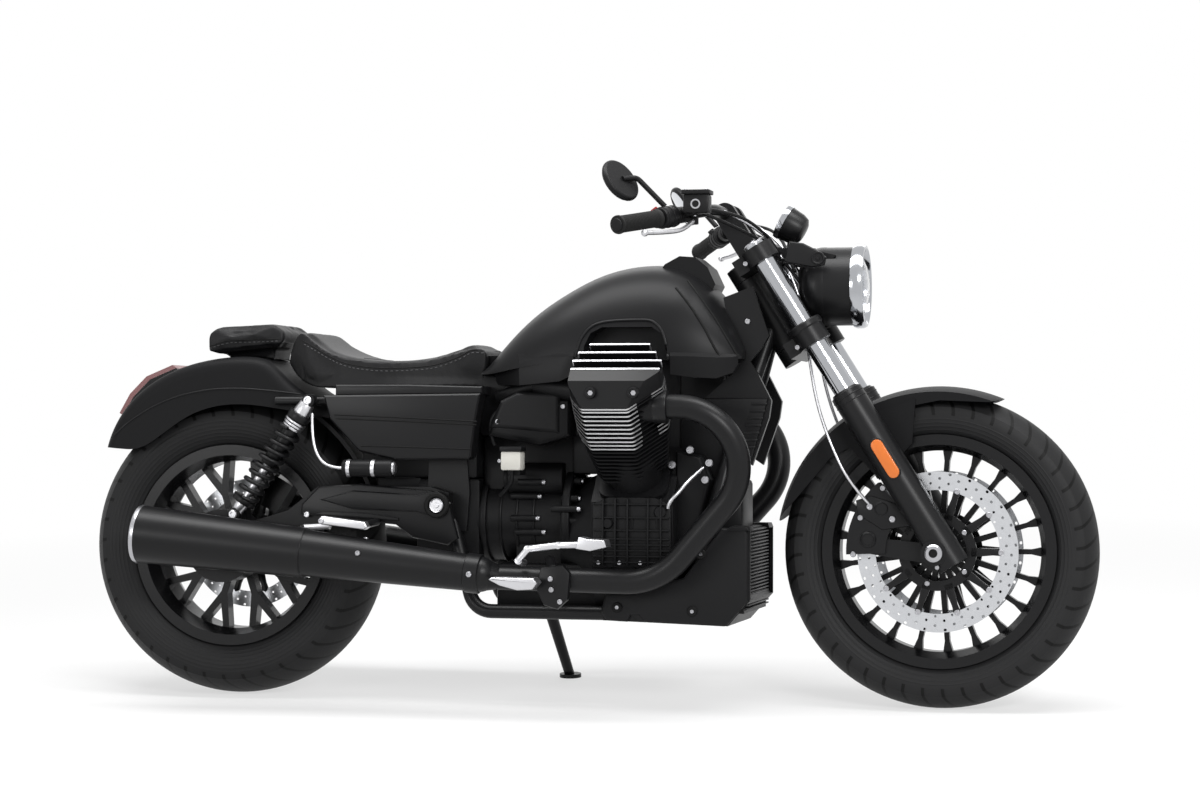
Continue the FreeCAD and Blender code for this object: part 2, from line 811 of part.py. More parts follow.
def bar_points():
    """The bar from its right end to its left end: a straight middle and two swept arms."""
    half, straight = s.bar_width / 2, s.bar_straight
    right = [(bar_end_x, -half, bar_end_height), (-s.bar_setback, -straight, bar_height)]
    left = [(x, -y, z) for x, y, z in reversed(right)]
    return right + left


def along_grip(distance, side=-1):
    """A point on the arm, so far in from the bar's end."""
    end = Vector(bar_end_x, s.bar_width / 2, bar_end_height)
    point = end - grip_way * float(distance)
    return (point.x, side * point.y, point.z)


def make_handlebar():
    bar = tube(bar_points(), s.bar_radius, s.bar_bend_radius, s.bar_radius - s.bar_wall)
    return add_shape("handlebar", bar, fork_frame)


def make_grips():
    add_pair("grips", rod(along_grip(0, 1), along_grip(s.grip_length, 1), s.grip_radius, s.bar_radius), fork_frame)


def make_hand_controls():
    """Switch drum, lever perch and lever on each side; the brake's fluid box on the right."""
    controls = []
    for side in (1, -1):
        start = along_grip(s.grip_length + s.seat_gap, side)
        finish = along_grip(s.grip_length + s.switch_length, side)
        perch_end = along_grip(s.grip_length + s.switch_length * 2, side)
        bar = rod(along_grip(s.grip_length, side), along_grip(s.grip_length + s.switch_length * 3, side), s.bar_radius)
        drum = rod(start, finish, s.switch_radius)
        perch = rod(finish, perch_end, s.switch_radius * 0.8)
        ahead = s.switch_radius * 2.4
        lever_points = [
            (perch_end[0] + s.switch_radius, perch_end[1], perch_end[2] - s.bar_radius),
            (perch_end[0] + ahead, perch_end[1] - side * s.bar_radius, perch_end[2] - s.switch_radius),
            (along_grip(s.grip_length * 0.4, side)[0] + ahead, along_grip(s.grip_length * 0.4, side)[1],
             along_grip(s.grip_length * 0.4, side)[2] - s.switch_radius),
        ]
        lever = tube(lever_points, s.bar_radius / 2, s.bar_radius * 1.2)
        knuckle = rod(perch_end, lever_points[0], s.bar_radius)
        parts = [drum, perch, knuckle, lever]
        if side < 0:
            foot = Vector(*along_grip(s.grip_length + s.switch_length * 1.5, side))
            box = block((foot.x, foot.y - s.switch_radius, foot.z + s.bar_radius),
                        (foot.x + s.switch_radius * 2.2, foot.y + s.switch_radius, foot.z + s.switch_radius * 2.6))
            parts.append(box)
        controls.append(joined(parts).cut(bar))
    return add_shape("hand_controls", Part.Compound(controls), fork_frame)


def make_mirrors(controls):
    foot = Vector(*along_grip(s.grip_length + s.switch_length * 0.9, 1))
    base = foot + Vector(0, 0, s.switch_radius)
    elbow = base + Vector(-s.mirror_reach / 3, s.mirror_reach / 2, s.mirror_height * 0.8)
    centre = elbow + Vector(-s.mirror_reach / 2, s.mirror_reach * 0.6, s.mirror_height * 0.1)
    stem = tube([base, elbow, centre], s.mirror_stem_radius, s.mirror_stem_radius * 3)
    face = Vector(-math.cos(math.radians(s.mirror_turn)), -math.sin(math.radians(s.mirror_turn)), 0)
    glass = Part.makeCylinder(s.mirror_radius, s.mirror_thickness, centre, face)
    shell = glass.makeFillet(s.mirror_thickness * 0.45, [edge for edge in glass.Edges if edge.Closed][:2])
    keep_out = controls.Shape.copy()
    keep_out.Placement = Placement()
    add_pair("mirrors", joined([stem, shell]).cut(keep_out), fork_frame)


def level(points):
    """Points given level with the ground, ahead of and above the axle, in the fork's own frame."""
    turned = []
    for x, y, z in points:
        turned.append(Vector(x * math.cos(rake) + z * math.sin(rake), y, z * math.cos(rake) - x * math.sin(rake)))
    return turned


lamp_centre = Vector(s.lamp_ahead, 0, s.lamp_height)
ahead_way = Vector(math.cos(rake), 0, -math.sin(rake))
up_way = Vector(math.sin(rake), 0, math.cos(rake))


def lamp_profile(outer, length, wall):
    """Half the section of the bucket: a round back that opens into a straight drum."""
    back = outer * 0.55
    arc = Part.Arc(Vector(-length, 0, back * 0.72), Vector(-length * 0.86, 0, outer * 0.84),
                   Vector(-length * 0.5, 0, outer))
    edges = [
        Part.LineSegment(Vector(-length, 0, 0), Vector(-length, 0, back * 0.72)).toShape(),
        arc.toShape(),
        Part.LineSegment(Vector(-length * 0.5, 0, outer), Vector(0, 0, outer)).toShape(),
        Part.LineSegment(Vector(0, 0, outer), Vector(0, 0, 0)).toShape(),
        Part.LineSegment(Vector(0, 0, 0), Vector(-length, 0, 0)).toShape(),
    ]
    return Part.Face(Part.Wire(edges)).revolve(Vector(0, 0, 0), x_axis, 360)


def place_lamp(shape):
    """Turn a lamp part from its own axis to the machine's, and set it on its centre."""
    shape.Placement = Placement(lamp_centre, Rotation(y_axis, s.rake_angle)).multiply(shape.Placement)
    return shape


def make_headlamp():
    bucket = lamp_profile(s.lamp_radius, s.lamp_length, s.lamp_wall)
    bowl = lamp_profile(s.lamp_radius - s.lamp_wall, s.lamp_length * 0.7, s.lamp_wall)
    add_shape("headlamp_bucket", place_lamp(bucket.cut(bowl)), fork_frame)
    rim = rod((s.seat_gap, 0, 0), (s.lamp_rim_length, 0, 0), s.lamp_radius + s.lamp_wall, s.lamp_radius - s.lamp_wall * 2)
    add_shape("headlamp_rim", place_lamp(rim), fork_frame)
    dome = s.lamp_radius - s.lamp_wall * 2 - s.seat_gap
    lens = rod((s.lamp_rim_length * 0.3, 0, 0), (s.lamp_rim_length * 0.8, 0, 0), dome)
    add_shape("headlamp_lens", place_lamp(lens), fork_frame)


def make_lamp_bracket():
    """Two ears from the upper yoke to the lamp's sides, with the bar that joins them."""
    ear_top = s.upper_yoke_height + s.yoke_thickness
    front = leg_x + s.yoke_ring + s.seat_gap
    side = s.lamp_radius * 0.66
    bolt = lamp_centre + up_way * (s.lamp_radius * 0.62) - ahead_way * (s.lamp_length * 0.45)
    reach = s.lamp_ear_height / 2
    parts = []
    for low in (side, -side - s.lamp_ear_thickness):
        plate = prism([(front, s.upper_yoke_height), (bolt.x - reach, bolt.z - reach * 0.6), (bolt.x + reach, bolt.z),
                       (bolt.x, bolt.z + reach), (front, ear_top)], s.lamp_ear_thickness, low)
        parts.append(plate)
    cross = block((front, -side, s.upper_yoke_height), (front + s.lamp_ear_thickness * 2, side, ear_top))
    parts.append(cross)
    bracket = joined(parts)
    clear = place_lamp(lamp_profile(s.lamp_radius + s.seat_gap, s.lamp_length + s.seat_gap, s.lamp_wall))
    return add_shape("lamp_bracket", bracket.cut(clear), fork_frame)


def make_gauge(bracket):
    centre = Vector(s.gauge_ahead, 0, gauge_height)
    tilt = math.radians(s.gauge_tilt) + rake
    way = Vector(-math.sin(tilt), 0, math.cos(tilt))
    cup = Part.makeCylinder(s.gauge_radius, s.gauge_length, centre - way * float(s.gauge_length), way)
    cup = cup.makeFillet(s.gauge_radius * 0.3, [edge for edge in cup.Edges if edge.Closed][1:2])
    foot_low = s.upper_yoke_height + s.yoke_thickness / 2
    front = leg_x + s.yoke_ring + s.seat_gap
    foot = block((front, -s.bar_radius, foot_low),
                 (centre.x + s.bar_radius, s.bar_radius, gauge_height - s.gauge_length * 0.4))
    keep_out = bracket.Shape.copy()
    keep_out.Placement = Placement()
    return add_shape("instrument", joined([cup, foot]).cut(keep_out), fork_frame)


def make_front_fender():
    """A shell round the tyre, with deeper skirts where the legs carry it."""
    inner = s.front_tyre_radius + s.fender_gap
    outer = inner + s.fender_wall
    half = s.fender_width / 2
    low = s.front_tyre_radius * 0.5
    shoulder = s.fender_shoulder

    def section(radius, side):
        arc = Part.Arc(Vector(radius - shoulder, side, 0), Vector(radius, 0, 0), Vector(radius - shoulder, -side, 0))
        edges = [
            arc.toShape(),
            Part.LineSegment(Vector(radius - shoulder, -side, 0), Vector(low, -side, 0)).toShape(),
            Part.LineSegment(Vector(low, -side, 0), Vector(low, side, 0)).toShape(),
            Part.LineSegment(Vector(low, side, 0), Vector(radius - shoulder, side, 0)).toShape(),
        ]
        return Part.Face(Part.Wire(edges))

    sweep = s.fender_rear_angle - s.fender_front_angle
    solid = section(outer, half).revolve(Vector(0, 0, 0), y_axis, -sweep)
    hollow = section(inner, half - s.fender_wall).revolve(Vector(0, 0, 0), y_axis, -sweep)
    shell = solid.cut(hollow)
    shell.rotate(Vector(0, 0, 0), y_axis, -s.fender_front_angle)
    line = [(s.front_tyre_radius * along, s.front_tyre_radius * up) for along, up in front_fender_low_shares]
    around = [(outer, outer * 2), (-outer * 2, outer * 2), (-outer * 2, line[0][1])]
    shell = shell.common(prism(line + around, s.fender_width * 2, -s.fender_width))
    stays = []
    gap_side = leg_side - s.slider_radius - s.seat_gap
    for low_side in (half - s.fender_wall, -gap_side):
        stay = prism([(-outer * 0.52, inner * 0.7), (-outer * 0.36, inner * 0.44), (-outer * 0.15, inner * 0.66),
                      (-outer * 0.13, inner * 0.93), (-outer * 0.4, inner * 0.84)],
                     gap_side - half + s.fender_wall, low_side)
        stays.append(stay)
    return add_shape("front_fender", joined([shell] + stays), front_frame)


def make_caliper(label, frame, side, disc_radius, angle, outward):
    """Two halves either side of the disc, bridged beyond its rim."""
    inner = s.caliper_inner_radius * (disc_radius / s.front_disc_radius)
    outer = disc_radius + s.caliper_outer_reach
    half = s.disc_thickness / 2 + s.caliper_gap
    reach = half + s.caliper_wall
    face = Part.makePolygon([Vector(inner, side - reach, 0), Vector(outer, side - reach, 0),
                             Vector(outer, side + reach, 0), Vector(inner, side + reach, 0),
                             Vector(inner, side - reach, 0)])
    solid = Part.Face(face).revolve(Vector(0, 0, 0), y_axis, -s.caliper_sweep)
    edge = disc_radius + s.caliper_gap
    slot_face = Part.makePolygon([Vector(0, side - half, 0), Vector(edge, side - half, 0),
                                  Vector(edge, side + half, 0), Vector(0, side + half, 0), Vector(0, side - half, 0)])
    slot = Part.Face(slot_face).revolve(Vector(0, 0, 0), y_axis, -360)
    solid = solid.cut(slot)
    solid.rotate(Vector(0, 0, 0), y_axis, -(angle - s.caliper_sweep / 2))
    return solid


def make_front_calipers():
    calipers = []
    for sign in (1, -1):
        side = sign * front_disc_side
        solid = make_caliper("", front_frame, side, s.front_disc_radius, s.front_caliper_angle, sign)
        start = side + sign * (s.disc_thickness / 2 + s.caliper_gap + s.bearing_gap)
        depth = s.caliper_wall * 0.7
        low = start if sign > 0 else start - depth
        bracket = prism([(0, -s.axle_boss_radius), (0, s.axle_boss_radius * 0.6),
                         (-s.caliper_inner_radius, s.axle_boss_radius),
                         (-s.caliper_inner_radius * 1.3, -s.axle_boss_radius * 0.2)], depth, low)
        solid = joined([solid, bracket])
        calipers.append(solid)
    return Part.Compound(calipers)


def make_front_brakes(sliders):
    calipers = make_front_calipers()
    keep_out = sliders.Shape.copy()
    keep_out.Placement = front_frame.inverse().multiply(fork_frame)
    axle = rod((0, -s.bar_width, 0), (0, s.bar_width, 0), s.front_axle_radius)
    return add_shape("front_calipers", calipers.cut(keep_out).cut(axle), front_frame)


def make_fork():
    make_front_axle()
    sliders = make_sliders()
    make_stanchions()
    make_yokes()
    make_handlebar()
    make_grips()
    controls = make_hand_controls()
    make_mirrors(controls)
    make_headlamp()
    bracket = make_lamp_bracket()
    make_gauge(bracket)
    make_front_fender()
    make_front_brakes(sliders)


make_fork()


# Chassis. Drawn in the upright machine's own coordinates.

def fork_point(x, z, y=0):
    """A point of the fork's frame, on the upright machine."""
    return fork_frame.multVec(Vector(x, y, z))


def both(make):
    """The right and the left piece from one that is drawn on the left."""
    return (("left", make), ("right", mirrored(make)))


engine_front = s.crank_x + s.case_length / 2
engine_rear = s.crank_x - s.case_length / 2
case_face = s.crank_height + s.cylinder_base * math.sqrt(2)
rail_side = s.case_half_width - s.tube_radius * 1.06
rail_height = s.cradle_height - s.tube_radius * 0.8
pivot_plate_side = s.arm_inside - s.plate_thickness - s.bearing_gap * 10


def cylinder_frame(side):
    """Where a cylinder stands on the crankcase: its own z runs up the bore."""
    return Placement(Vector(s.crank_x, 0, s.crank_height), Rotation(x_axis, -side * s.cylinder_angle))


def plate(length, width, low, height, corner):
    """A flat plate with rounded corners, square to its own z."""
    solid = Part.makeBox(length, width, height, Vector(-length / 2, -width / 2, low))
    return rounded(solid, corner, lambda edge: abs(edge.tangentAt(edge.FirstParameter).z) > 0.9)


def head_slab(low, height, scale):
    """A slab of the head's plan, square to the bore."""
    points = [Vector(s.fin_length * along * scale, s.fin_width * across * scale, low)
              for along, across in head_plan_shares]
    slab = Part.Face(Part.makePolygon(points + points[:1])).extrude(Vector(0, 0, height))
    return rounded(slab, s.fin_corner * 0.5 * scale, lambda edge: edge.BoundBox.ZLength > height * 0.9)


def make_cylinders():
    """Finned barrels and heads, one leaning out to each side. The fins narrow towards the crankcase."""
    fin_count = int((s.fin_end - s.fin_start) / s.fin_pitch) + 1
    head_low = s.fin_end - s.fin_pitch * 8
    head_top = s.fin_end + s.fin_pitch
    foot = plate(s.case_length * 0.84, s.fin_width * 0.92, s.cylinder_base, s.fin_pitch, s.fin_corner)
    barrel = Part.makeCylinder(s.barrel_radius, head_low - s.cylinder_base, Vector(0, 0, s.cylinder_base))
    head = head_slab(head_low, head_top - head_low, 0.84)
    deck = head_slab(head_top - s.fin_thickness, s.fin_thickness, 1.0)
    fins = []
    for i in range(fin_count):
        scale = min(1.0, 0.78 + 0.38 * i / fin_count)
        fins.append(head_slab(s.fin_start + s.fin_pitch * i, s.fin_thickness, scale))
    port_height = s.fin_end - s.fin_pitch * 3
    port = Part.makeCylinder(s.header_radius * 1.3, s.fin_length / 2 + s.fin_thickness,
                             Vector(0, s.fin_pitch, port_height), x_axis)
    intake = Part.makeCylinder(s.header_radius * 1.2, s.fin_length / 2 + s.fin_thickness,
                               Vector(0, -s.fin_pitch * 2, port_height), -x_axis)
    solid = joined([barrel, foot, head, deck, port, intake] + fins)
    solid.Placement = cylinder_frame(1)
    return add_pair("cylinders", solid)


def make_head_covers():
    """The covers: a bevelled lower edge, a plain facet for the bolts, and wide-set fins above it."""
    low = s.fin_end + s.fin_pitch + s.seat_gap
    top = low + s.cover_height
    width = s.fin_width
    fin_floor = top - s.top_fin_depth
    section = [(width * 0.5, low), (width * 0.5, low + s.cover_height * 0.12), (width * 0.22, top), (-width * 0.02, top),
               (-width * 0.02, fin_floor), (-width * 0.62, fin_floor - s.top_fin_depth * 0.6), (-width * 0.62, low)]
    column = head_slab(low, s.cover_height, 0.99)
    start = -s.cover_length / 2
    face = Part.Face(Part.makePolygon([Vector(start, y, z) for y, z in section + section[:1]]))
    parts = [face.extrude(Vector(s.cover_length, 0, 0))]
    for i in range(4):
        y = -width * 0.02 - s.top_fin_pitch * i
        parts.append(block((start, y - s.fin_thickness, low), (start + s.cover_length, y, top)))
    cover = joined(parts).common(column)
    cover.Placement = cylinder_frame(1)
    return add_pair("head_covers", cover)


def make_crankcase(frame):
    """The case between the cylinders, with a flat face square to each bore."""
    flank = s.case_half_width * 1.13
    bottom = s.case_bottom
    section = [(-s.case_half_width * 0.74, bottom), (s.case_half_width * 0.74, bottom),
               (s.case_half_width, bottom + s.case_half_width * 0.46), (flank, case_face - flank),
               (s.barrel_radius, case_face - s.barrel_radius), (-s.barrel_radius, case_face - s.barrel_radius),
               (-flank, case_face - flank), (-s.case_half_width, bottom + s.case_half_width * 0.46)]
    wire = Part.makePolygon([Vector(engine_rear, y, z) for y, z in section + section[:1]])
    case = Part.Face(wire).extrude(Vector(engine_front - engine_rear, 0, 0))
    ribs = []
    for share in (-0.3, 0, 0.3):
        x = s.crank_x + s.case_length * share
        rib = [(-flank - s.fin_thickness * 1.5, case_face - flank * 1.2), (flank + s.fin_thickness * 1.5, case_face - flank * 1.2),
               (s.case_half_width + s.fin_thickness, bottom + s.case_half_width * 0.5),
               (-s.case_half_width - s.fin_thickness, bottom + s.case_half_width * 0.5)]
        face = Part.Face(Part.makePolygon([Vector(x, y, z) for y, z in rib + rib[:1]]))
        ribs.append(face.extrude(Vector(s.fin_thickness, 0, 0)))
    feet = []
    for share in (-0.3, 0.3):
        foot_x = s.crank_x + s.case_length * share
        foot_side = rail_side - s.tube_radius * 0.4
        feet.append(side_rod(foot_x, bottom + s.tube_radius * 0.7, -foot_side, foot_side, s.tube_radius * 0.4))
    add_shape("crankcase", joined([case] + ribs + feet).cut(frame.Shape))
    cover = Part.makeCylinder(s.alternator_radius, s.alternator_length, Vector(engine_front, 0, s.crank_height), x_axis)
    cover = rounded(cover, s.alternator_radius * 0.2, lambda edge: edge.BoundBox.XMin > engine_front + 1)
    add_shape("alternator_cover", cover)


def make_gearbox():
    bell = Part.makeCone(s.gearbox_radius * 1.1, s.bell_radius, engine_rear - s.bell_rear,
                         Vector(s.bell_rear, 0, s.crank_height), x_axis)
    box_height = s.crank_height + s.gearbox_radius * 0.38
    box = Part.makeCylinder(s.gearbox_radius, s.bell_rear - s.gearbox_rear, Vector(s.gearbox_rear, 0, box_height), x_axis)
    sump = block((s.gearbox_rear + s.gearbox_radius, -s.gearbox_radius * 0.8, s.crank_height - s.gearbox_radius * 1.1),
                 (s.bell_rear, s.gearbox_radius * 0.8, s.crank_height))
    return add_shape("gearbox", joined([bell, box, sump]))


header_corner_share = 2.06
header_low_share = 0.36


def header_points(side):
    port = cylinder_frame(side).multVec(Vector(s.fin_length / 2 + s.fin_thickness + s.seat_gap, side * s.fin_pitch,
                                               s.fin_end - s.fin_pitch * 3))
    corner = (s.crank_x + s.fin_length * header_corner_share, port.y, port.z)
    low_side = s.muffler_side - s.header_radius
    low = (s.crank_x + s.fin_length * header_low_share, side * low_side, s.muffler_front_height - s.header_radius * 0.6)
    end = (s.muffler_front_x + s.muffler_front_radius, side * (s.muffler_side - s.pipe_wall * 4),
           s.muffler_front_height - s.pipe_wall * 3)
    return [port, corner, low, end]


def make_exhausts(cylinders):
    points = [Vector(*point) for point in header_points(1)]
    wire = two_bends(points, s.header_radius * 4.85, s.header_radius * 6)
    pipes = []
    for radius in (s.header_radius, s.header_radius - s.pipe_wall):
        ring_wire = Part.Wire([Part.makeCircle(radius, points[0], points[1] - points[0])])
        pipes.append(wire.makePipeShell([ring_wire], True, False))
    add_pair("exhaust_headers", pipes[0].cut(pipes[1]).cut(cylinders.Shape))
    front = Vector(s.muffler_front_x, s.muffler_side, s.muffler_front_height)
    joint = Vector(s.muffler_joint_x, s.muffler_side, s.muffler_joint_height)
    rear = Vector(s.muffler_rear_x, s.muffler_side, s.muffler_rear_height)
    parts = [
        cone(points[3], front, s.header_radius, s.muffler_front_radius),
        Part.makeSphere(s.muffler_front_radius, front),
        cone(front, joint, s.muffler_front_radius, s.muffler_joint_radius),
        cone(joint, rear, s.muffler_joint_radius + s.muffler_wall, s.muffler_rear_radius),
    ]
    hollow_way = (joint - rear).normalize()
    hollow = Part.makeCylinder(s.muffler_rear_radius - s.muffler_wall * 2, s.muffler_open, rear, hollow_way)
    add_pair("mufflers", joined(parts).cut(hollow).cut(pipes[0]))


def cone(start, end, first, last):
    way = end - start
    return Part.makeCone(first, last, way.Length, start, way)


def two_bends(points, first_bend, last_bend):
    """A path of three straight runs whose two corners have their own bends."""
    edges = []
    start = points[0]
    for index, bend in ((1, first_bend), (2, last_bend)):
        corner = points[index]
        back = (points[index - 1] - corner).normalize()
        ahead = (points[index + 1] - corner).normalize()
        half = back.getAngle(ahead) / 2
        reach = bend / math.tan(half)
        one, two = corner + back * reach, corner + ahead * reach
        centre = corner + (back + ahead).normalize() * (bend / math.sin(half))
        middle = centre + (corner - centre).normalize() * float(bend)
        edges.append(Part.LineSegment(start, one).toShape())
        edges.append(Part.Arc(one, middle, two).toShape())
        start = two
    edges.append(Part.LineSegment(start, points[3]).toShape())
    return Part.Wire(edges)


def tank_sections(shares):
    """The dome's cross-section at a station, and the band's below its crease."""
    along, rise, wide, drop = shares
    x = s.tank_rear_x + (s.tank_front_x - s.tank_rear_x) * along
    crease = s.tank_bottom + s.tank_band + s.tank_band * drop
    half = s.tank_width / 2 * wide
    height = s.tank_dome * rise
    left = [Vector(x, half, crease)]
    left += [Vector(x, half * out, crease + height * up) for out, up in tank_dome_shares]
    right = [Vector(point.x, -point.y, point.z) for point in reversed(left)]
    curve = Part.BSplineCurve()
    curve.interpolate(left + [Vector(x, 0, crease + height)] + right)
    dome = Part.Wire([curve.toShape(), Part.LineSegment(right[-1], left[0]).toShape()])
    low = s.tank_bottom + s.tank_band * drop * 0.2
    belly = half - s.tank_band * 0.24
    corners = [Vector(x, half, crease), Vector(x, -half, crease), Vector(x, -belly, low), Vector(x, belly, low)]
    return dome, Part.makePolygon(corners + corners[:1])


def recess_outline():
    """The opening over a cylinder head, in the side view."""
    low = s.tank_bottom - s.tank_band
    top = s.tank_bottom + s.recess_height
    rear, front, corner = s.recess_rear_x, s.recess_front_x, s.recess_corner
    return [(rear, low), (rear + corner * 0.45, top - corner * 1.3), (rear + corner * 0.9, top - corner * 0.4),
            (rear + corner * 1.7, top), (front - corner * 1.2, top), (front - corner * 0.45, top - corner * 0.5),
            (front - corner * 0.1, top - corner * 1.5), (front, low)]


def make_tank(frame_shape):
    """A dome on a chamfered band, with an opening over each head, a tunnel for the backbone and a filler console."""
    pairs = [tank_sections(shares) for shares in tank_stations_shares]
    dome = Part.makeLoft([pair[0] for pair in pairs], True, False)
    band = Part.makeLoft([pair[1] for pair in pairs], True, False)
    recess = prism(recess_outline(), s.tank_width, s.tank_width / 2 - s.recess_depth)
    half = s.tank_tunnel_width / 2
    tunnel = block((s.tank_rear_x - s.tank_width, -half, s.tank_bottom - s.tank_dome),
                   (s.tank_front_x + s.tank_width, half, s.tank_bottom + s.tank_tunnel_height))
    halves = [piece.cut(recess).cut(mirrored(recess)).cut(tunnel) for piece in (dome, band)]
    top = s.tank_bottom + s.tank_band + s.tank_dome
    points = [(s.console_rear_x + s.console_length * along, top - s.console_rise * (0.6 - up))
              for along, up in console_side_shares]
    console = prism(points, s.console_width, -s.console_width / 2)
    return add_shape("fuel_tank", joined(halves + [console]).cut(frame_shape))


def side_profile(low_points, top_points):
    """A closed side outline: a smooth top line, and a smooth lower line back."""
    top = smooth_edge([(x, 0, z) for x, z in top_points])
    low = smooth_edge([(x, 0, z) for x, z in low_points])
    first = Part.LineSegment(Vector(top_points[-1][0], 0, top_points[-1][1]), Vector(low_points[0][0], 0, low_points[0][1]))
    last = Part.LineSegment(Vector(low_points[-1][0], 0, low_points[-1][1]), Vector(top_points[0][0], 0, top_points[0][1]))
    return Part.Face(Part.Wire(Part.sortEdges([top, first.toShape(), low, last.toShape()])[0]))


def make_seat(tank):
    length = s.seat_front_x - s.seat_rear_x
    top = [(s.seat_rear_x + length * along, s.seat_bottom + s.seat_height * up) for along, up in seat_side_shares]
    low = [(s.seat_rear_x + length * along, s.seat_bottom + s.seat_height * up) for along, up in seat_base_shares]
    face = side_profile(low, top)
    solid = face.extrude(Vector(0, s.seat_width, 0))
    solid.translate(Vector(0, -s.seat_width / 2, 0))
    plan = [(s.seat_rear_x + length * along, s.seat_width / 2 * wide) for along, wide in seat_plan_shares]
    left = smooth_edge([(x, y, 0) for x, y in plan])
    right = smooth_edge([(x, -y, 0) for x, y in reversed(plan)])
    front = Part.LineSegment(Vector(plan[-1][0], plan[-1][1], 0), Vector(plan[-1][0], -plan[-1][1], 0)).toShape()
    back = Part.LineSegment(Vector(plan[0][0], -plan[0][1], 0), Vector(plan[0][0], plan[0][1], 0)).toShape()
    footprint = Part.Face(Part.Wire(Part.sortEdges([left, front, right, back])[0]))
    column = footprint.extrude(Vector(0, 0, s.seat_bottom * 2))
    return add_shape("seat", solid.common(column).cut(tank.Shape))


def make_pad(fender_block):
    length = s.pad_front_x - s.pad_rear_x
    top = s.pad_bottom + s.pad_height
    outline_points = [(s.pad_rear_x, s.pad_bottom), (s.pad_front_x, s.pad_bottom + s.pad_height * 0.3),
                      (s.pad_front_x, top - s.pad_height * 0.24), (s.pad_front_x - length * 0.14, top),
                      (s.pad_rear_x + length * 0.1, top - s.pad_height * 0.1), (s.pad_rear_x, top - s.pad_height * 0.3)]
    solid = prism(outline_points, s.pad_width, -s.pad_width / 2)
    cushion = rounded(solid, s.seat_corner * 0.5, lambda edge: edge.BoundBox.ZMin > s.pad_bottom + 1)
    base_low = (s.pad_rear_x + length * 0.2, -s.pad_width * 0.3, s.pad_bottom - s.pad_height)
    base_high = (s.pad_front_x - length * 0.2, s.pad_width * 0.3, s.pad_bottom + s.pad_height * 0.4)
    base = block(base_low, base_high).cut(fender_block)
    return add_shape("passenger_pad", joined([cushion, base]))


def upper_rim(edge, half):
    """Whether an edge of the fender is its long upper one on either side."""
    box = edge.BoundBox
    flat = box.YLength < 1 and abs(abs(box.Center.y) - half) < 1
    return flat and box.XLength > s.rear_tyre_radius and box.ZMax > s.rear_tyre_radius * 2


def make_rear_fender(frame):
    """A deep shell over the rear tyre: the side outline less the same outline drawn inside it."""
    top = [(s.tail_x + s.rear_tyre_radius * along, s.rear_tyre_radius + s.rear_tyre_radius * up)
           for along, up in fender_top_shares]
    low = [(s.tail_x + s.rear_tyre_radius * along, s.rear_tyre_radius + s.rear_tyre_radius * up)
           for along, up in fender_low_shares]
    solid = side_profile(low, top).extrude(Vector(0, s.rear_fender_width, 0))
    solid.translate(Vector(0, -s.rear_fender_width / 2, 0))
    wall = s.rear_fender_wall
    half = s.rear_fender_width / 2
    solid = rounded(solid, s.rear_fender_corner, lambda edge: upper_rim(edge, half))
    block_shape = solid.copy()
    inner_top = [(x + wall, z - wall * 2) for x, z in top]
    inner_low = [(x, z - s.rear_tyre_radius / 2) for x, z in low]
    inner = side_profile(inner_low, inner_top).extrude(Vector(0, s.rear_fender_width - wall * 2, 0))
    inner.translate(Vector(0, wall - half, 0))
    inner = rounded(inner, s.rear_fender_corner, lambda edge: upper_rim(edge, half - wall))
    return add_shape("rear_fender", solid.cut(inner).cut(frame.Shape)), block_shape


def side_rod(x, height, low, high, radius):
    """A bar across the machine, from one distance off its middle to another."""
    return rod((x, low, height), (x, high, height), radius)


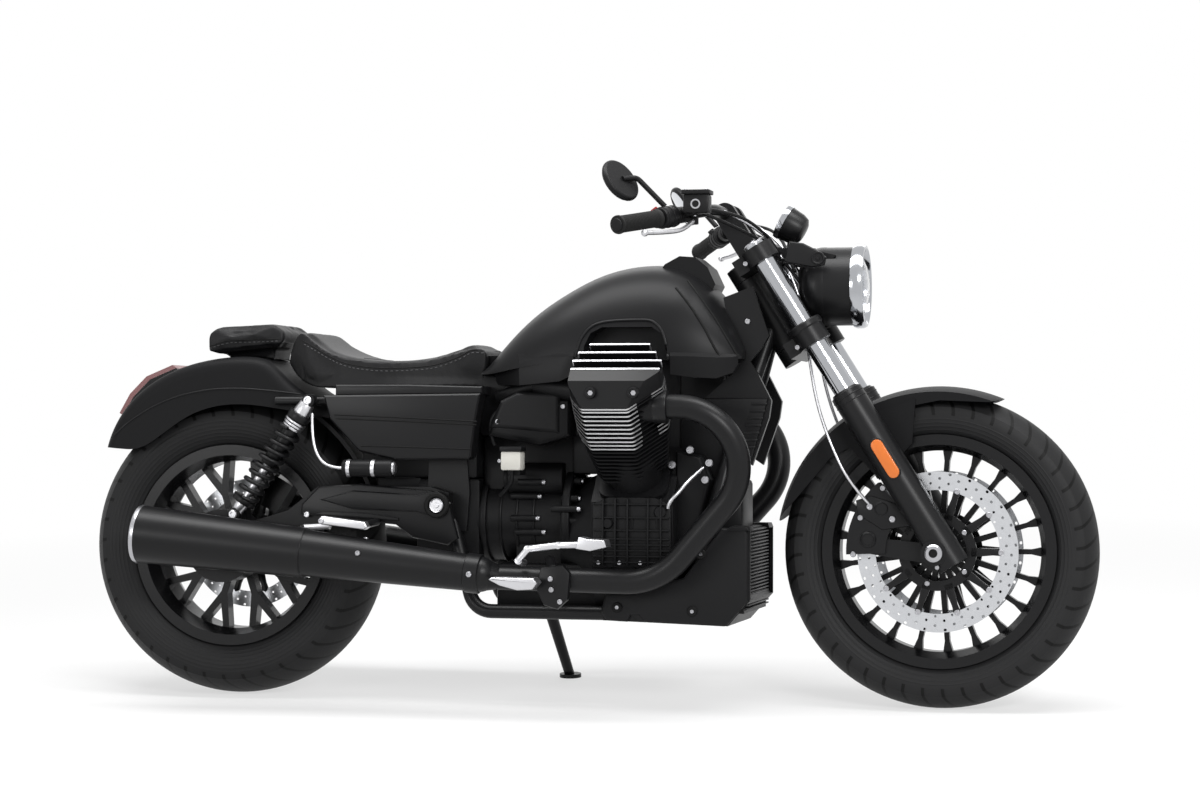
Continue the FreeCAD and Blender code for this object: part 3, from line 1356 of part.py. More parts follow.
def make_frame():
    """Neck, backbone, two loops round the engine, pivot plates and the rails that carry seat and shocks."""
    neck_low = s.lower_yoke_height + s.yoke_thickness + s.neck_gap
    neck_high = s.upper_yoke_height - s.neck_gap
    neck_radius = s.stem_radius + s.neck_wall
    neck = rod(fork_point(stem_x, neck_low), fork_point(stem_x, neck_high), neck_radius)
    bore = rod(fork_point(stem_x, neck_low - s.cut_overrun), fork_point(stem_x, neck_high + s.cut_overrun),
               s.stem_radius + s.bearing_gap)
    top = fork_point(stem_x, (neck_low + neck_high) / 2)
    knee_x = s.pivot_x + s.tube_radius
    plate_top = s.beam_height - s.beam_radius * 2.6
    beam = tube([top, (top.x - s.beam_radius * 4.6, 0, s.beam_height), (s.tank_rear_x + s.beam_radius * 3, 0, s.beam_height - s.neck_gap * 6),
                 (knee_x, 0, plate_top)], s.beam_radius, s.beam_radius * 2.5)
    parts = [neck.cut(bore), stand_lug(), beam.cut(neck)]
    foot = fork_point(stem_x, neck_low + (neck_high - neck_low) * 0.24)
    inside = pivot_plate_side
    outside = pivot_plate_side + s.plate_thickness
    for side in (1, -1):
        front_x = s.lower_cover_front_x - s.tube_radius * 4.8
        loop = tube([(foot.x - s.tube_radius, side * s.tube_radius, foot.z), (foot.x - s.tube_radius * 5, side * rail_side * 0.55, s.seat_bottom - s.tube_radius * 6),
                     (front_x, side * rail_side, s.lower_cover_top), (front_x - s.tube_radius * 2, side * rail_side, rail_height),
                     (s.pivot_x + s.tube_radius * 4.4, side * rail_side, rail_height),
                     (s.pivot_x + s.tube_radius, side * inside, s.pivot_height - s.tube_radius * 2)],
                    s.tube_radius * 0.88, s.tube_radius * 3)
        parts.append(loop.cut(neck))
        low = inside if side > 0 else -outside
        parts.append(prism([(s.pivot_x - s.arm_height * 0.6, s.pivot_height - s.arm_height * 0.8),
                            (s.pivot_x + s.arm_height * 0.8, s.pivot_height - s.arm_height * 0.9),
                            (s.pivot_x + s.arm_height * 0.9, s.pivot_height + s.arm_height * 0.4),
                            (s.pivot_x + s.arm_height * 0.7, plate_top + s.tube_radius),
                            (s.pivot_x - s.arm_height * 0.5, plate_top + s.tube_radius)], s.plate_thickness, low))
        rail = tube([(knee_x, side * inside, plate_top), (s.rear_fender_front_x + s.tube_radius, side * rail_side * 0.86, s.shock_top_height + s.tube_radius / 2),
                     (s.rear_fender_front_x - s.tube_radius * 4, side * (rail_side + s.bearing_gap), s.shock_top_height),
                     (s.shock_top_x - s.tube_radius * 5, side * (rail_side + s.bearing_gap), s.shock_top_height)],
                    s.tube_radius * 0.56, s.tube_radius * 3)
        parts.append(rail)
        parts.append(side_rod(s.shock_top_x, s.shock_top_height, side * rail_side,
                              side * (s.shock_side + s.shock_eye_width / 2 + s.neck_gap * 2), s.shock_eye_radius / 2))
    parts.append(side_rod(knee_x, plate_top, -outside, outside, s.tube_radius))
    reach = s.arm_inside + s.arm_thickness + s.plate_thickness / 2
    parts.append(side_rod(s.pivot_x, s.pivot_height, -reach, reach, s.stand_pin_radius * 2))
    return add_shape("frame", joined([parts[0]] + parts[2:] + [parts[1].cut(stand_bore())]))


stand_spread = math.radians(s.stand_spread)
stand_axis = Vector(0, math.cos(stand_spread), math.sin(stand_spread))
stand_pivot = Vector(s.stand_pivot_x, s.stand_pivot_side, s.stand_pivot_height)
knuckle_half = s.stand_leg_radius * 1.3
pin_start = stand_pivot - stand_axis * float(s.tube_radius + knuckle_half + s.neck_gap)


def stand_lug():
    """The frame's ear with the bore for the stand's pin, and the bar that holds it to the loop."""
    radius = s.stand_pin_radius * 2.4
    ear = Part.makeCylinder(radius, s.tube_radius, pin_start, stand_axis)
    start = pin_start + stand_axis * float(s.tube_radius * 0.4)
    strut = rod(start, (s.stand_pivot_x, rail_side, rail_height), s.tube_radius * 0.7)
    return joined([ear, strut])


def stand_bore():
    start = stand_pivot - stand_axis * float(s.tube_radius * 3)
    return Part.makeCylinder(s.stand_pin_radius + s.bearing_gap, s.tube_radius * 3, start, stand_axis)


def make_side_stand():
    """Leg, foot and pin. It is drawn down, with its foot flat on the ground of the leaning machine."""
    lean = math.radians(s.lean_angle)
    forward = math.sin(math.radians(s.lean_angle) * 1.6)
    way = Vector(forward, math.sin(stand_spread), -math.cos(stand_spread)).normalize()
    drop = s.stand_pivot_height - s.stand_pivot_side * math.tan(lean)
    length = drop / (-way.z + way.y * math.tan(lean))
    foot = stand_pivot + way * float(length)
    ground_up = Vector(0, -math.sin(lean), math.cos(lean))
    leg = Part.makeCone(s.stand_leg_radius * 1.25, s.stand_leg_radius, length - s.stand_foot_thickness, stand_pivot, way)
    knuckle = Part.makeCylinder(s.stand_pin_radius * 2.3, knuckle_half * 2,
                                stand_pivot - stand_axis * float(knuckle_half), stand_axis)
    pin = Part.makeCylinder(s.stand_pin_radius, s.tube_radius + knuckle_half * 2, pin_start, stand_axis)
    sole = Part.makeCylinder(s.stand_foot_radius, s.stand_foot_thickness, foot, ground_up)
    under = Part.makeBox(s.stand_spread * 9, s.stand_spread * 9, s.stand_spread * 3, Vector(-s.stand_spread * 4.5, -s.stand_spread * 4.5, -s.stand_spread * 3))
    under.Placement = Placement(foot, Rotation(x_axis, -s.lean_angle).inverted())
    return add_shape("side_stand", joined([leg, knuckle, pin, sole]).cut(under))


def make_swing_arm():
    pivot, height, axle = s.pivot_x, s.pivot_height, s.rear_tyre_radius
    shape = [(pivot + 20, height + 26), (pivot - 20, height + 38), (pivot * 0.45, height + 38), (pivot * 0.31, height - 14),
             (s.shock_foot_x, axle + 44), (-36, axle + 20), (-36, axle - 20), (s.shock_foot_x, axle - 38),
             (pivot * 0.37, axle + 46), (pivot * 0.92, height - 32), (pivot + 20, height - 30)]
    parts = []
    for side in (1, -1):
        low = s.arm_inside if side > 0 else -s.arm_inside - s.arm_thickness
        parts.append(prism(shape, s.arm_thickness, low))
        lug = prism([(s.shock_foot_x - s.shock_eye_radius * 1.4, axle), (s.shock_foot_x + s.shock_eye_radius * 1.4, axle),
                     (s.shock_foot_x + s.shock_eye_radius, s.shock_foot_height + s.shock_eye_radius),
                     (s.shock_foot_x - s.shock_eye_radius, s.shock_foot_height + s.shock_eye_radius)], s.arm_thickness, low)
        parts.append(lug)
        parts.append(side_rod(s.shock_foot_x, s.shock_foot_height, side * s.arm_inside,
                              side * (s.shock_side + s.shock_eye_width / 2 + s.neck_gap * 2), s.shock_eye_radius / 2))
    cross_x = s.rear_tyre_radius + s.beam_radius * 3
    parts.append(side_rod(cross_x, height, -s.arm_inside, s.arm_inside, s.beam_radius))
    housing_low = s.rear_hub_width / 2 + s.caliper_gap
    parts.append(side_rod(0, axle, -housing_low, -s.arm_inside - s.arm_thickness, s.hub_housing_radius))
    arm = joined(parts)
    arm = arm.cut(side_rod(0, axle, -s.muffler_side, s.muffler_side, s.rear_axle_radius))
    arm = arm.cut(side_rod(pivot, height, -s.muffler_side, s.muffler_side, s.stand_pin_radius * 2))
    return add_shape("swing_arm", arm)


def make_rear_axle():
    reach = s.arm_inside + s.arm_thickness + s.plate_thickness / 2
    return add_shape("rear_axle", side_rod(0, 0, -reach, reach, s.rear_axle_radius), rear_frame)


def make_rear_caliper(arm):
    solid = make_caliper("", rear_frame, rear_disc_side, s.rear_disc_radius, s.rear_caliper_angle, 1)
    low = rear_disc_side + s.disc_thickness / 2 + s.caliper_gap + s.caliper_wall * 0.6
    radius = s.rear_disc_radius
    bracket = prism([(0, radius * 0.3), (radius * 0.36, radius * 0.5), (radius * 0.5, radius * 0.9), (radius * 0.9, radius * 0.6),
                     (radius * 0.7, radius * 0.3), (radius * 0.4, 0)], s.arm_inside - low, low)
    keep_out = arm.Shape.copy()
    keep_out.Placement = rear_frame.inverse()
    return add_shape("rear_caliper", joined([solid, bracket]).cut(keep_out), rear_frame)


def make_shocks():
    top = Vector(s.shock_top_x, 0, s.shock_top_height)
    foot = Vector(s.shock_foot_x, 0, s.shock_foot_height)
    way = (foot - top).normalize()
    length = (foot - top).Length
    parts = []
    for end in (top, foot):
        eye = rod((end.x, -s.shock_eye_width / 2, end.z), (end.x, s.shock_eye_width / 2, end.z), s.shock_eye_radius)
        parts.append(eye)
    parts.append(Part.makeCylinder(s.shock_body_radius, length * 0.42, top + way * float(s.shock_eye_radius * 0.8), way))
    parts.append(Part.makeCylinder(s.shock_body_radius * 0.8, length * 0.88, top + way * float(s.shock_eye_radius * 0.8), way))
    parts.append(Part.makeCylinder(s.shock_rod_radius, length - s.shock_eye_radius * 1.4,
                                   top + way * float(s.shock_eye_radius * 0.8), way))
    coil_count = 8
    start = length * 0.2
    for i in range(coil_count):
        at = start + length * 0.66 * i / (coil_count - 1)
        parts.append(Part.makeCylinder(s.shock_spring_radius, s.shock_rod_radius * 0.9, top + way * float(at), way))
    solid = joined(parts)
    for end in (top, foot):
        solid = solid.cut(rod((end.x, -s.shock_side, end.z), (end.x, s.shock_side, end.z), s.shock_eye_radius / 2))
    solid.translate(Vector(0, s.shock_side, 0))
    return add_pair("shocks", solid)


def side_panel(points, inside, thickness, keep_out):
    solid = prism(points, thickness, inside)
    return solid.cut(keep_out)


def make_side_covers(frame):
    rear, front, low, high = s.side_panel_rear_x, s.side_panel_front_x, s.side_panel_bottom, s.side_panel_top
    length, rise = front - rear, high - low
    panel = [(rear, high), (front, high), (front - length * 0.04, low + rise * 0.63), (front - length * 0.06, low),
             (rear + length * 0.47, low), (rear + length * 0.25, low + rise * 0.13), (rear + length * 0.05, low + rise * 0.62)]
    box_rear = front + s.plate_thickness
    box = [(box_rear, low + rise * 0.5), (box_rear + s.plate_thickness * 2, high - s.plate_thickness / 2), (box_rear + s.plate_thickness * 5, high + s.plate_thickness),
           (engine_rear - s.fin_pitch * 6, high + s.plate_thickness), (engine_rear - s.fin_pitch * 6, low + rise * 0.4)]
    depth = s.side_panel_inside + s.side_panel_thickness
    shape = prism(panel, s.side_panel_thickness, s.side_panel_inside)
    shape = rounded(shape, s.side_panel_corner, lambda edge: edge.BoundBox.YMin > depth - 1)
    add_pair("side_panels", shape.cut(frame.Shape))
    air_depth = depth - s.plate_thickness * 2
    air = prism(box, air_depth * 2, -air_depth)
    air = rounded(air, s.side_panel_corner * 0.8,
                  lambda edge: edge.BoundBox.YMin > air_depth - 1 or edge.BoundBox.YMax < 1 - air_depth)
    add_shape("air_box", air.cut(frame.Shape))


def make_neck_covers(tank, frame):
    """Plates that close the sides of the neck, ahead of the tank and below it."""
    points = [(s.lower_cover_front_x + s.front_tyre_radius * along, s.tank_bottom + s.front_tyre_radius * up)
              for along, up in neck_cover_shares]
    cover = prism(points, s.neck_cover_wall, s.neck_cover_inside)
    add_pair("neck_covers", cover.cut(tank.Shape).cut(frame.Shape))


def make_lower_cover(frame):
    """Shield under and ahead of the engine, with the oil cooler between its sides."""
    rear, front = s.lower_cover_rear_x, s.lower_cover_front_x
    low, high = s.lower_cover_bottom, s.lower_cover_top
    half = s.lower_cover_width / 2
    outer = [(rear, low + 26), (rear + 22, low + 6), (front - 46, low), (front + 8, low + 55), (front + 8, high - 6), (front - 24, high),
             (engine_front + s.alternator_length + 22, high - 90), (engine_front + s.alternator_length + 22, low + 26)]
    shell = prism(outer, s.lower_cover_width, -half)
    wall = s.lower_cover_wall
    inner = [(rear + 60, low + wall), (front - 46, low + wall), (front + 8 - wall, low + 55), (front + 20, low + 60),
             (front + 20, high + 30), (engine_front, high + 30), (engine_front, low + 60), (rear - 20, low + 60), (rear - 20, low + wall)]
    hollow = prism(inner, s.lower_cover_width - wall * 2, wall - half)
    cover = add_shape("lower_cover", shell.cut(hollow).cut(frame.Shape))
    cooler_front = front - s.cooler_thickness / 4
    cooler = block((cooler_front - s.cooler_thickness, wall * 2 - half, low + s.cooler_thickness), (cooler_front, half - wall * 2, high))
    add_shape("oil_cooler", cooler.cut(frame.Shape).cut(cover.Shape))


def make_tail_lamp(fender):
    points = [(s.tail_x + s.rear_tyre_radius * along, s.rear_tyre_radius * (1 + up)) for along, up in fender_top_shares[1:4]]
    thick = s.cooler_thickness * 0.9
    wide = s.rear_fender_width * 0.44
    shape = prism(points + [(x - thick * 0.8, z + thick * 0.4) for x, z in reversed(points)], wide, -wide / 2)
    return add_shape("tail_lamp", shape.cut(fender.Shape))


def make_pegs(gearbox):
    """Rider's pegs on their brackets, out beyond the exhaust, each with its foot lever."""
    over = s.peg_height + s.peg_radius * 3.6
    inner = s.peg_side - s.peg_radius * 4.6
    arm = rod((s.peg_x, s.gearbox_radius * 0.4, over), (s.peg_x, inner, over), s.peg_radius * 0.7)
    hang = rod((s.peg_x, inner, over + s.peg_radius * 0.6), (s.peg_x, inner, s.peg_height - s.peg_radius),
               s.peg_radius * 0.8)
    step = rod((s.peg_x, inner, s.peg_height), (s.peg_x, s.peg_side, s.peg_height), s.peg_radius)
    reach_x = s.peg_x + s.pedal_reach
    reach_height = over + s.pedal_reach * 0.24
    lever = tube([(s.peg_x, inner, over), (s.peg_x + s.pedal_reach * 0.16, inner, over + s.pedal_reach * 0.18),
                  (reach_x, inner, reach_height)], s.pedal_radius, s.pedal_radius * 2)
    toe = rod((reach_x, inner - s.peg_radius * 2, reach_height), (reach_x, inner + s.peg_radius * 2, reach_height),
              s.pedal_radius * 1.4)
    add_pair("footpegs", joined([arm, hang, step, lever, toe]).cut(gearbox.Shape))


def make_chassis():
    frame = make_frame()
    make_crankcase(frame)
    gearbox = make_gearbox()
    cylinders = make_cylinders()
    make_head_covers()
    make_exhausts(cylinders)
    arm = make_swing_arm()
    make_rear_axle()
    make_rear_caliper(arm)
    make_shocks()
    tank = make_tank(frame.Shape)
    make_seat(tank)
    fender, fender_block = make_rear_fender(frame)
    make_pad(fender_block)
    make_tail_lamp(fender)
    make_side_covers(frame)
    make_neck_covers(tank, frame)
    make_lower_cover(frame)
    make_pegs(gearbox)


make_chassis()
make_side_stand()


# The whole machine leans on its stand, and its origin is the middle of the footprint that it then has.
document.recompute()
lean = Placement(Vector(0, 0, 0), Rotation(x_axis, -s.lean_angle))
reach_low = [math.inf] * 3
reach_high = [-math.inf] * 3
for piece in pieces:
    shape = piece.Shape.copy()
    shape.Placement = lean.multiply(piece.Placement)
    box = Part.Compound([shape]).optimalBoundingBox(False, False)
    lows = (box.XMin, box.YMin, box.ZMin)
    highs = (box.XMax, box.YMax, box.ZMax)
    reach_low = [min(pair) for pair in zip(reach_low, lows)]
    reach_high = [max(pair) for pair in zip(reach_high, highs)]
shift = Vector(-(reach_low[0] + reach_high[0]) / 2, -(reach_low[1] + reach_high[1]) / 2, -reach_low[2])
stance = Placement(shift, Rotation(x_axis, -s.lean_angle))
for piece in pieces:
    piece.Placement = stance.multiply(piece.Placement)
document.recompute()

for item in document.Objects:
    if "Invalid" in item.State or "Error" in item.State:
        raise RuntimeError("not computed: " + item.Label)
for piece in pieces:
    if piece.Shape.isNull() or not piece.Shape.isValid():
        raise RuntimeError("no sound shape: " + piece.Label)

os.makedirs("parts", exist_ok=True)
for piece in pieces:
    piece.Shape.exportStep("parts/" + piece.Label + ".step")
print("origin shift", shift, "size", [high - low for low, high in zip(reach_low, reach_high)])
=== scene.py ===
import bpy, bmesh, json, math
from mathutils import Matrix, Vector
from mathutils.bvhtree import BVHTree


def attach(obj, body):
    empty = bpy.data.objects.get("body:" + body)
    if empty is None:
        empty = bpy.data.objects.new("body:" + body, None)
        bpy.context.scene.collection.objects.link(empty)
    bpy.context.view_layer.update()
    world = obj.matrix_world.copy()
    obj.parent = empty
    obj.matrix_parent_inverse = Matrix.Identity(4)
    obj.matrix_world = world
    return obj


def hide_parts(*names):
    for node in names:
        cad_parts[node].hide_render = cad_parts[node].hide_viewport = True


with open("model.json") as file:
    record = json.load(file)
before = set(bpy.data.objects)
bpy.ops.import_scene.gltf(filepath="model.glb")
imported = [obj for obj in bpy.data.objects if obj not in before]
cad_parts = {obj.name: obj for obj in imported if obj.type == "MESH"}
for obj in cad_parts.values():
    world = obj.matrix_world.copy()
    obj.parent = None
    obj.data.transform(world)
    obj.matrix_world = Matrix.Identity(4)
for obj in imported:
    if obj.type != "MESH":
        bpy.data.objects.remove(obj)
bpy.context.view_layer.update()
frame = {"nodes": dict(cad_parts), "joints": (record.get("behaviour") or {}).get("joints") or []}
nodes = frame["nodes"]

# the parked machine leans; its own axes are x ahead, y to the left, z up, from the rear tyre's contact
stanceLook = {"lean": -5, "rake": -32, "wheelbase": 1525, "frontRadius": 325, "rearRadius": 323}


def makeStance(look):
    lean = Matrix.Rotation(math.radians(look["lean"]), 4, "X")
    hub = [joint for joint in frame["joints"] if joint["name"] == "rear_wheel_spin"][0]["pos_m"]
    return Matrix.Translation(Vector(hub) - lean @ Vector((0, 0, look["rearRadius"] / 1000))) @ lean


# stance takes upright metres; bike, the two hubs and the fork's own axes take millimetres
stance = makeStance(stanceLook)
upright = stance.to_3x3()
bike = stance @ Matrix.Scale(0.001, 4)
rearHub = bike @ Matrix.Translation((0, 0, stanceLook["rearRadius"]))
frontHub = bike @ Matrix.Translation((stanceLook["wheelbase"], 0, stanceLook["frontRadius"]))
fork = frontHub @ Matrix.Rotation(math.radians(stanceLook["rake"]), 4, "Y")

cameraLook = {"place": (2.155, -6.2184, 0.5609), "yaw": 12.9926, "pitch": 1.8877, "roll": 0.1727,
              "lens": 89.525, "shiftX": 0.0304, "shiftY": -0.0522,
              "middle": (563.5188, 337.3569), "focal": 2984.1755}


def cameraAxes(look):
    yaw, pitch, roll = (math.radians(look[name]) for name in ("yaw", "pitch", "roll"))
    ahead = Vector((-math.sin(yaw) * math.cos(pitch), math.cos(yaw) * math.cos(pitch), math.sin(pitch)))
    right = Vector((math.cos(yaw), math.sin(yaw), 0))
    up = right.cross(ahead)
    return (right * math.cos(roll) + up * math.sin(roll), up * math.cos(roll) - right * math.sin(roll), ahead)


def makeCamera(look):
    right, up, ahead = cameraAxes(look)
    data = bpy.data.cameras.new("photoCamera")
    data.sensor_width, data.lens = 36, look["lens"]
    data.shift_x, data.shift_y = look["shiftX"], look["shiftY"]
    data.clip_start, data.clip_end = 0.1, 100
    camera = bpy.data.objects.new("photoCamera", data)
    bpy.context.collection.objects.link(camera)
    turn = Matrix((right, up, -ahead)).transposed().to_4x4()
    camera.matrix_world = stance @ Matrix.Translation(look["place"]) @ turn
    bpy.context.scene.camera = camera


makeCamera(cameraLook)


# mesh helpers: each part is a small bmesh that stamp() adds to a piece
def stamp(bm, part, place=Matrix.Identity(4), index=0):
    bmesh.ops.transform(part, matrix=place, verts=part.verts)
    for face in part.faces:
        face.material_index = index
    carrier = bpy.data.meshes.new("carrier")
    part.to_mesh(carrier)
    part.free()
    bm.from_mesh(carrier)
    bpy.data.meshes.remove(carrier)


def softenEdges(part, edges, rim, segments=2):
    bmesh.ops.bevel(part, geom=edges, offset=rim, segments=segments, profile=0.5, affect="EDGES", material=-1)


def rodPart(start, end, radius, far=None, segments=20, rim=0.0):
    part = bmesh.new()
    way = Vector(end) - Vector(start)
    bmesh.ops.create_cone(part, cap_ends=True, segments=segments, radius1=radius,
                          radius2=radius if far is None else far, depth=way.length)
    if rim:
        softenEdges(part, [edge for edge in part.edges if any(len(face.verts) > 4 for face in edge.link_faces)], rim)
    turn = way.to_track_quat("Z", "Y").to_matrix().to_4x4()
    bmesh.ops.transform(part, matrix=Matrix.Translation((Vector(start) + Vector(end)) / 2) @ turn, verts=part.verts)
    return part


def platePart(outline, low, high, rim=0.0, segments=2):
    # an (x, z) outline raised along y from low to high, its far rim bevelled
    part = bmesh.new()
    face = part.faces.new([part.verts.new((x, low, z)) for x, z in outline])
    raised = bmesh.ops.extrude_face_region(part, geom=[face])["geom"]
    tops = [item for item in raised if isinstance(item, bmesh.types.BMVert)]
    bmesh.ops.translate(part, verts=tops, vec=(0, high - low, 0))
    if rim:
        softenEdges(part, [edge for edge in part.edges if edge.verts[0] in tops and edge.verts[1] in tops], rim,
                    segments)
    return part


def spunPart(profile, steps=64, closed=False):
    # (radius, along) points turned about z
    part = bmesh.new()
    verts = [part.verts.new((radius, 0, along)) for radius, along in profile]
    edges = [part.edges.new(pair) for pair in zip(verts, verts[1:])]
    if closed:
        edges.append(part.edges.new((verts[-1], verts[0])))
    bmesh.ops.spin(part, geom=verts + edges, cent=(0, 0, 0), axis=(0, 0, 1), angle=math.tau, steps=steps,
                   use_merge=True)
    bmesh.ops.remove_doubles(part, verts=part.verts, dist=0.001)
    return part


def ringPart(radius, thick, steps=64, around=12):
    turns = [math.tau * i / around for i in range(around)]
    return spunPart([(radius + thick * math.cos(t), thick * math.sin(t)) for t in turns], steps, True)


def boxPart(low, high, rim=0.0):
    (x0, y0, z0), (x1, y1, z1) = low, high
    part = platePart([(x0, z0), (x1, z0), (x1, z1), (x0, z1)], min(y0, y1), max(y0, y1))
    if rim:
        softenEdges(part, list(part.edges), rim)
    return part


def boltPart(radius, height):
    return spunPart([(0, height * 0.45), (radius * 0.5, height * 0.45), (radius * 0.56, height),
                     (radius * 0.84, height), (radius, height * 0.72), (radius, 0), (0, 0)], 16)


def toward(point, way):
    return Matrix.Translation(point) @ Vector(way).to_track_quat("Z", "Y").to_matrix().to_4x4()


# rows of parts for one side of the machine: side is 1 for the left and -1 for the right
def sided(point, side):
    return (point[0], side * point[1], point[2])


def stampRods(bm, rows, side=1):
    for start, end, radius, rim, index in rows:
        stamp(bm, rodPart(sided(start, side), sided(end, side), radius, rim=rim), index=index)


def stampPlates(bm, rows, side=1):
    for outline, low, high, rim, segments, index in rows:
        stamp(bm, platePart(outline, side * low, side * high, rim, segments), index=index)


def stampBoxes(bm, rows, side=1):
    for low, high, rim, index in rows:
        stamp(bm, boxPart(sided(low, side), sided(high, side), rim), index=index)


def stampBolts(bm, rows, side=1):
    for point, radius, height, index in rows:
        stamp(bm, boltPart(radius, height), toward(sided(point, side), (0, side, 0)), index)


def stampSpun(bm, rows, side=1):
    for profile, steps, closed, point, index in rows:
        stamp(bm, spunPart(profile, steps, closed), toward(sided(point, side), (0, side, 0)), index)


rowKinds = {"plates": stampPlates, "boxes": stampBoxes, "spuns": stampSpun, "bolts": stampBolts, "rods": stampRods}


def stampSides(bm, look):
    # a dictionary's rows on both sides of the machine
    for side in (-1, 1):
        for kind, stampRows in rowKinds.items():
            stampRows(bm, look.get(kind, ()), side)


def dressedPiece(name, look, finish, replaces=(), crease=30):
    bm = bmesh.new()
    stampSides(bm, look)
    return makePiece(name, bm, bike, finish, "chassis", replaces, crease)


def makePiece(name, bm, place, finish=None, body=None, replaces=(), crease=38):
    # the bmesh becomes an object at the origin, with its place in its vertices
    bmesh.ops.transform(bm, matrix=place, verts=bm.verts)
    bmesh.ops.recalc_face_normals(bm, faces=bm.faces)
    for face in bm.faces:
        face.smooth = True
    for edge in bm.edges:
        edge.smooth = len(edge.link_faces) == 2 and edge.calc_face_angle() < math.radians(crease)
    mesh = bpy.data.meshes.new(name)
    bm.to_mesh(mesh)
    bm.free()
    piece = bpy.data.objects.new(name, mesh)
    bpy.context.collection.objects.link(piece)
    for one in finish or []:
        mesh.materials.append(finishes[one])
    if body:
        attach(piece, body)
    if replaces:
        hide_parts(*replaces)
    return piece


def makeLines(name, runs, radius, finish, body, smooth=True):
    # round lines through world points, for hoses, trim, seams and grooves
    curve = bpy.data.curves.new(name, "CURVE")
    curve.dimensions = "3D"
    curve.bevel_depth, curve.bevel_resolution, curve.resolution_u = radius, 2, 6
    curve.use_fill_caps = True
    for run in runs:
        spline = curve.splines.new("NURBS" if smooth else "POLY")
        spline.points.add(len(run) - 1)
        for knot, point in zip(spline.points, run):
            knot.co = (*point, 1)
        if smooth:
            spline.use_endpoint_u = True
            spline.order_u = min(3, len(run))
    piece = bpy.data.objects.new(name, curve)
    bpy.context.collection.objects.link(piece)
    curve.materials.append(finishes[finish])
    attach(piece, body)


def pairedRuns(place, paths):
    # each path once for the right side and once for the left
    return [[place @ Vector(sided(point, side)) for point in path] for side in (-1, 1) for path in paths]


# places on the machine's surfaces
rightWay, leftWay, downWay = (0, 1, 0), (0, -1, 0), (0, 0, -1)


def skinOf(thing):
    return BVHTree.FromObject(thing, bpy.context.evaluated_depsgraph_get())


def drop(tree, point, way, lift=0.0):
    # the world point where a line through an upright machine's point meets a surface
    aim = (upright @ Vector(way)).normalized()
    hit, normal, index, distance = tree.ray_cast(bike @ Vector(point) - aim * 0.6, aim)
    return hit - aim * lift if hit else None


def smoothRun(corners, step):
    # points on a smooth line through the corners
    corners = [Vector(corner) for corner in corners]
    ends = [corners[0] * 2 - corners[1]] + corners + [corners[-1] * 2 - corners[-2]]
    run = []
    for a, b, c, d in zip(ends, ends[1:], ends[2:], ends[3:]):
        count = max(1, round((c - b).length / step))
        for i in range(count):
            t = i / count
            run.append(0.5 * (b * 2 + (c - a) * t + (a * 2 - b * 5 + c * 4 - d) * t * t
                              + (b * 3 - a - c * 3 + d) * t * t * t))
    return run + [corners[-1]]


def drape(tree, corners, side, lift=0.0, step=8.0):
    # a smooth line laid on a surface from the machine's side, or from above when side is 0
    way = downWay if side == 0 else rightWay if side < 0 else leftWay
    hits = [drop(tree, point, way, lift) for point in smoothRun(corners, step)]
    return [hit for hit in hits if hit]


def pixelPoint(px, py, depth):
    # where the camera's line through a photograph pixel meets a plane so far off the machine's middle
    right, up, ahead = cameraAxes(cameraLook)
    middleX, middleY = cameraLook["middle"]
    way = ahead + right * ((px - middleX) / cameraLook["focal"]) - up * ((py - middleY) / cameraLook["focal"])
    eye = Vector(cameraLook["place"]) * 1000
    return eye + way * ((depth - eye.y) / way.y)


def onPhoto(tree, pixels, depth=-60):
    # the line that photograph pixels draw on a surface, from the camera's side
    eye = stance @ Vector(cameraLook["place"])
    run = []
    for point in smoothRun([pixelPoint(px, py, depth) for px, py in pixels], 8.0):
        hit, normal, index, distance = tree.ray_cast(eye, (bike @ point - eye).normalized())
        if hit:
            run.append(hit)
    return run


def bothSides(runs):
    # the same lines on the machine's other side
    back = stance.inverted()
    other = [[stance @ Vector(sided(back @ point, -1)) for point in run] for run in runs]
    return runs + other


studioLook = {"floor": 14.0, "floorTone": 0.86, "fade": (1.2, 3.6, 0.62, 1.0), "worldLight": 0.4,
              "lamps": [("overhead", (0.2, -0.4, 3.2), (4.4, 1.2), 150, (0.2, 0, 0.4)),
                        ("keySide", (2.8, -4.0, 2.8), (1.6, 1.0), 130, (0.1, 0, 0.5)),
                        ("fillSide", (-2.8, -4.4, 1.6), (1.8, 1.2), 45, (0, 0, 0.5)),
                        ("backRim", (-0.6, 3.6, 2.6), (4.0, 1.4), 24, (0, 0, 0.6))]}


def nodeTree(material):
    material.use_nodes = True
    tree = material.node_tree
    tree.nodes.clear()
    return tree, tree.nodes, tree.links


def mathNode(tree, operation, first, second=None, clamp=False):
    node = tree.nodes.new("ShaderNodeMath")
    node.operation, node.use_clamp = operation, clamp
    for socket, value in zip(node.inputs, (first, second)):
        if value is None:
            continue
        if isinstance(value, (int, float)):
            socket.default_value = value
        else:
            tree.links.new(value, socket)
    return node.outputs[0]


def mixShaders(tree, share, first, second, out):
    mix = tree.nodes.new("ShaderNodeMixShader")
    for source, socket in zip((share, first.outputs[0], second.outputs[0]), mix.inputs):
        tree.links.new(source, socket)
    tree.links.new(mix.outputs[0], out.inputs[0])


def mixColors(tree, shader, share, color):
    # the shader's own colour where share is 0, and the given one where it is 1
    mix = tree.nodes.new("ShaderNodeMix")
    mix.data_type = "RGBA"
    mix.inputs["A"].default_value = shader.inputs["Base Color"].default_value
    mix.inputs["B"].default_value = (*color, 1)
    tree.links.new(share, mix.inputs["Factor"])
    tree.links.new(mix.outputs["Result"], shader.inputs["Base Color"])


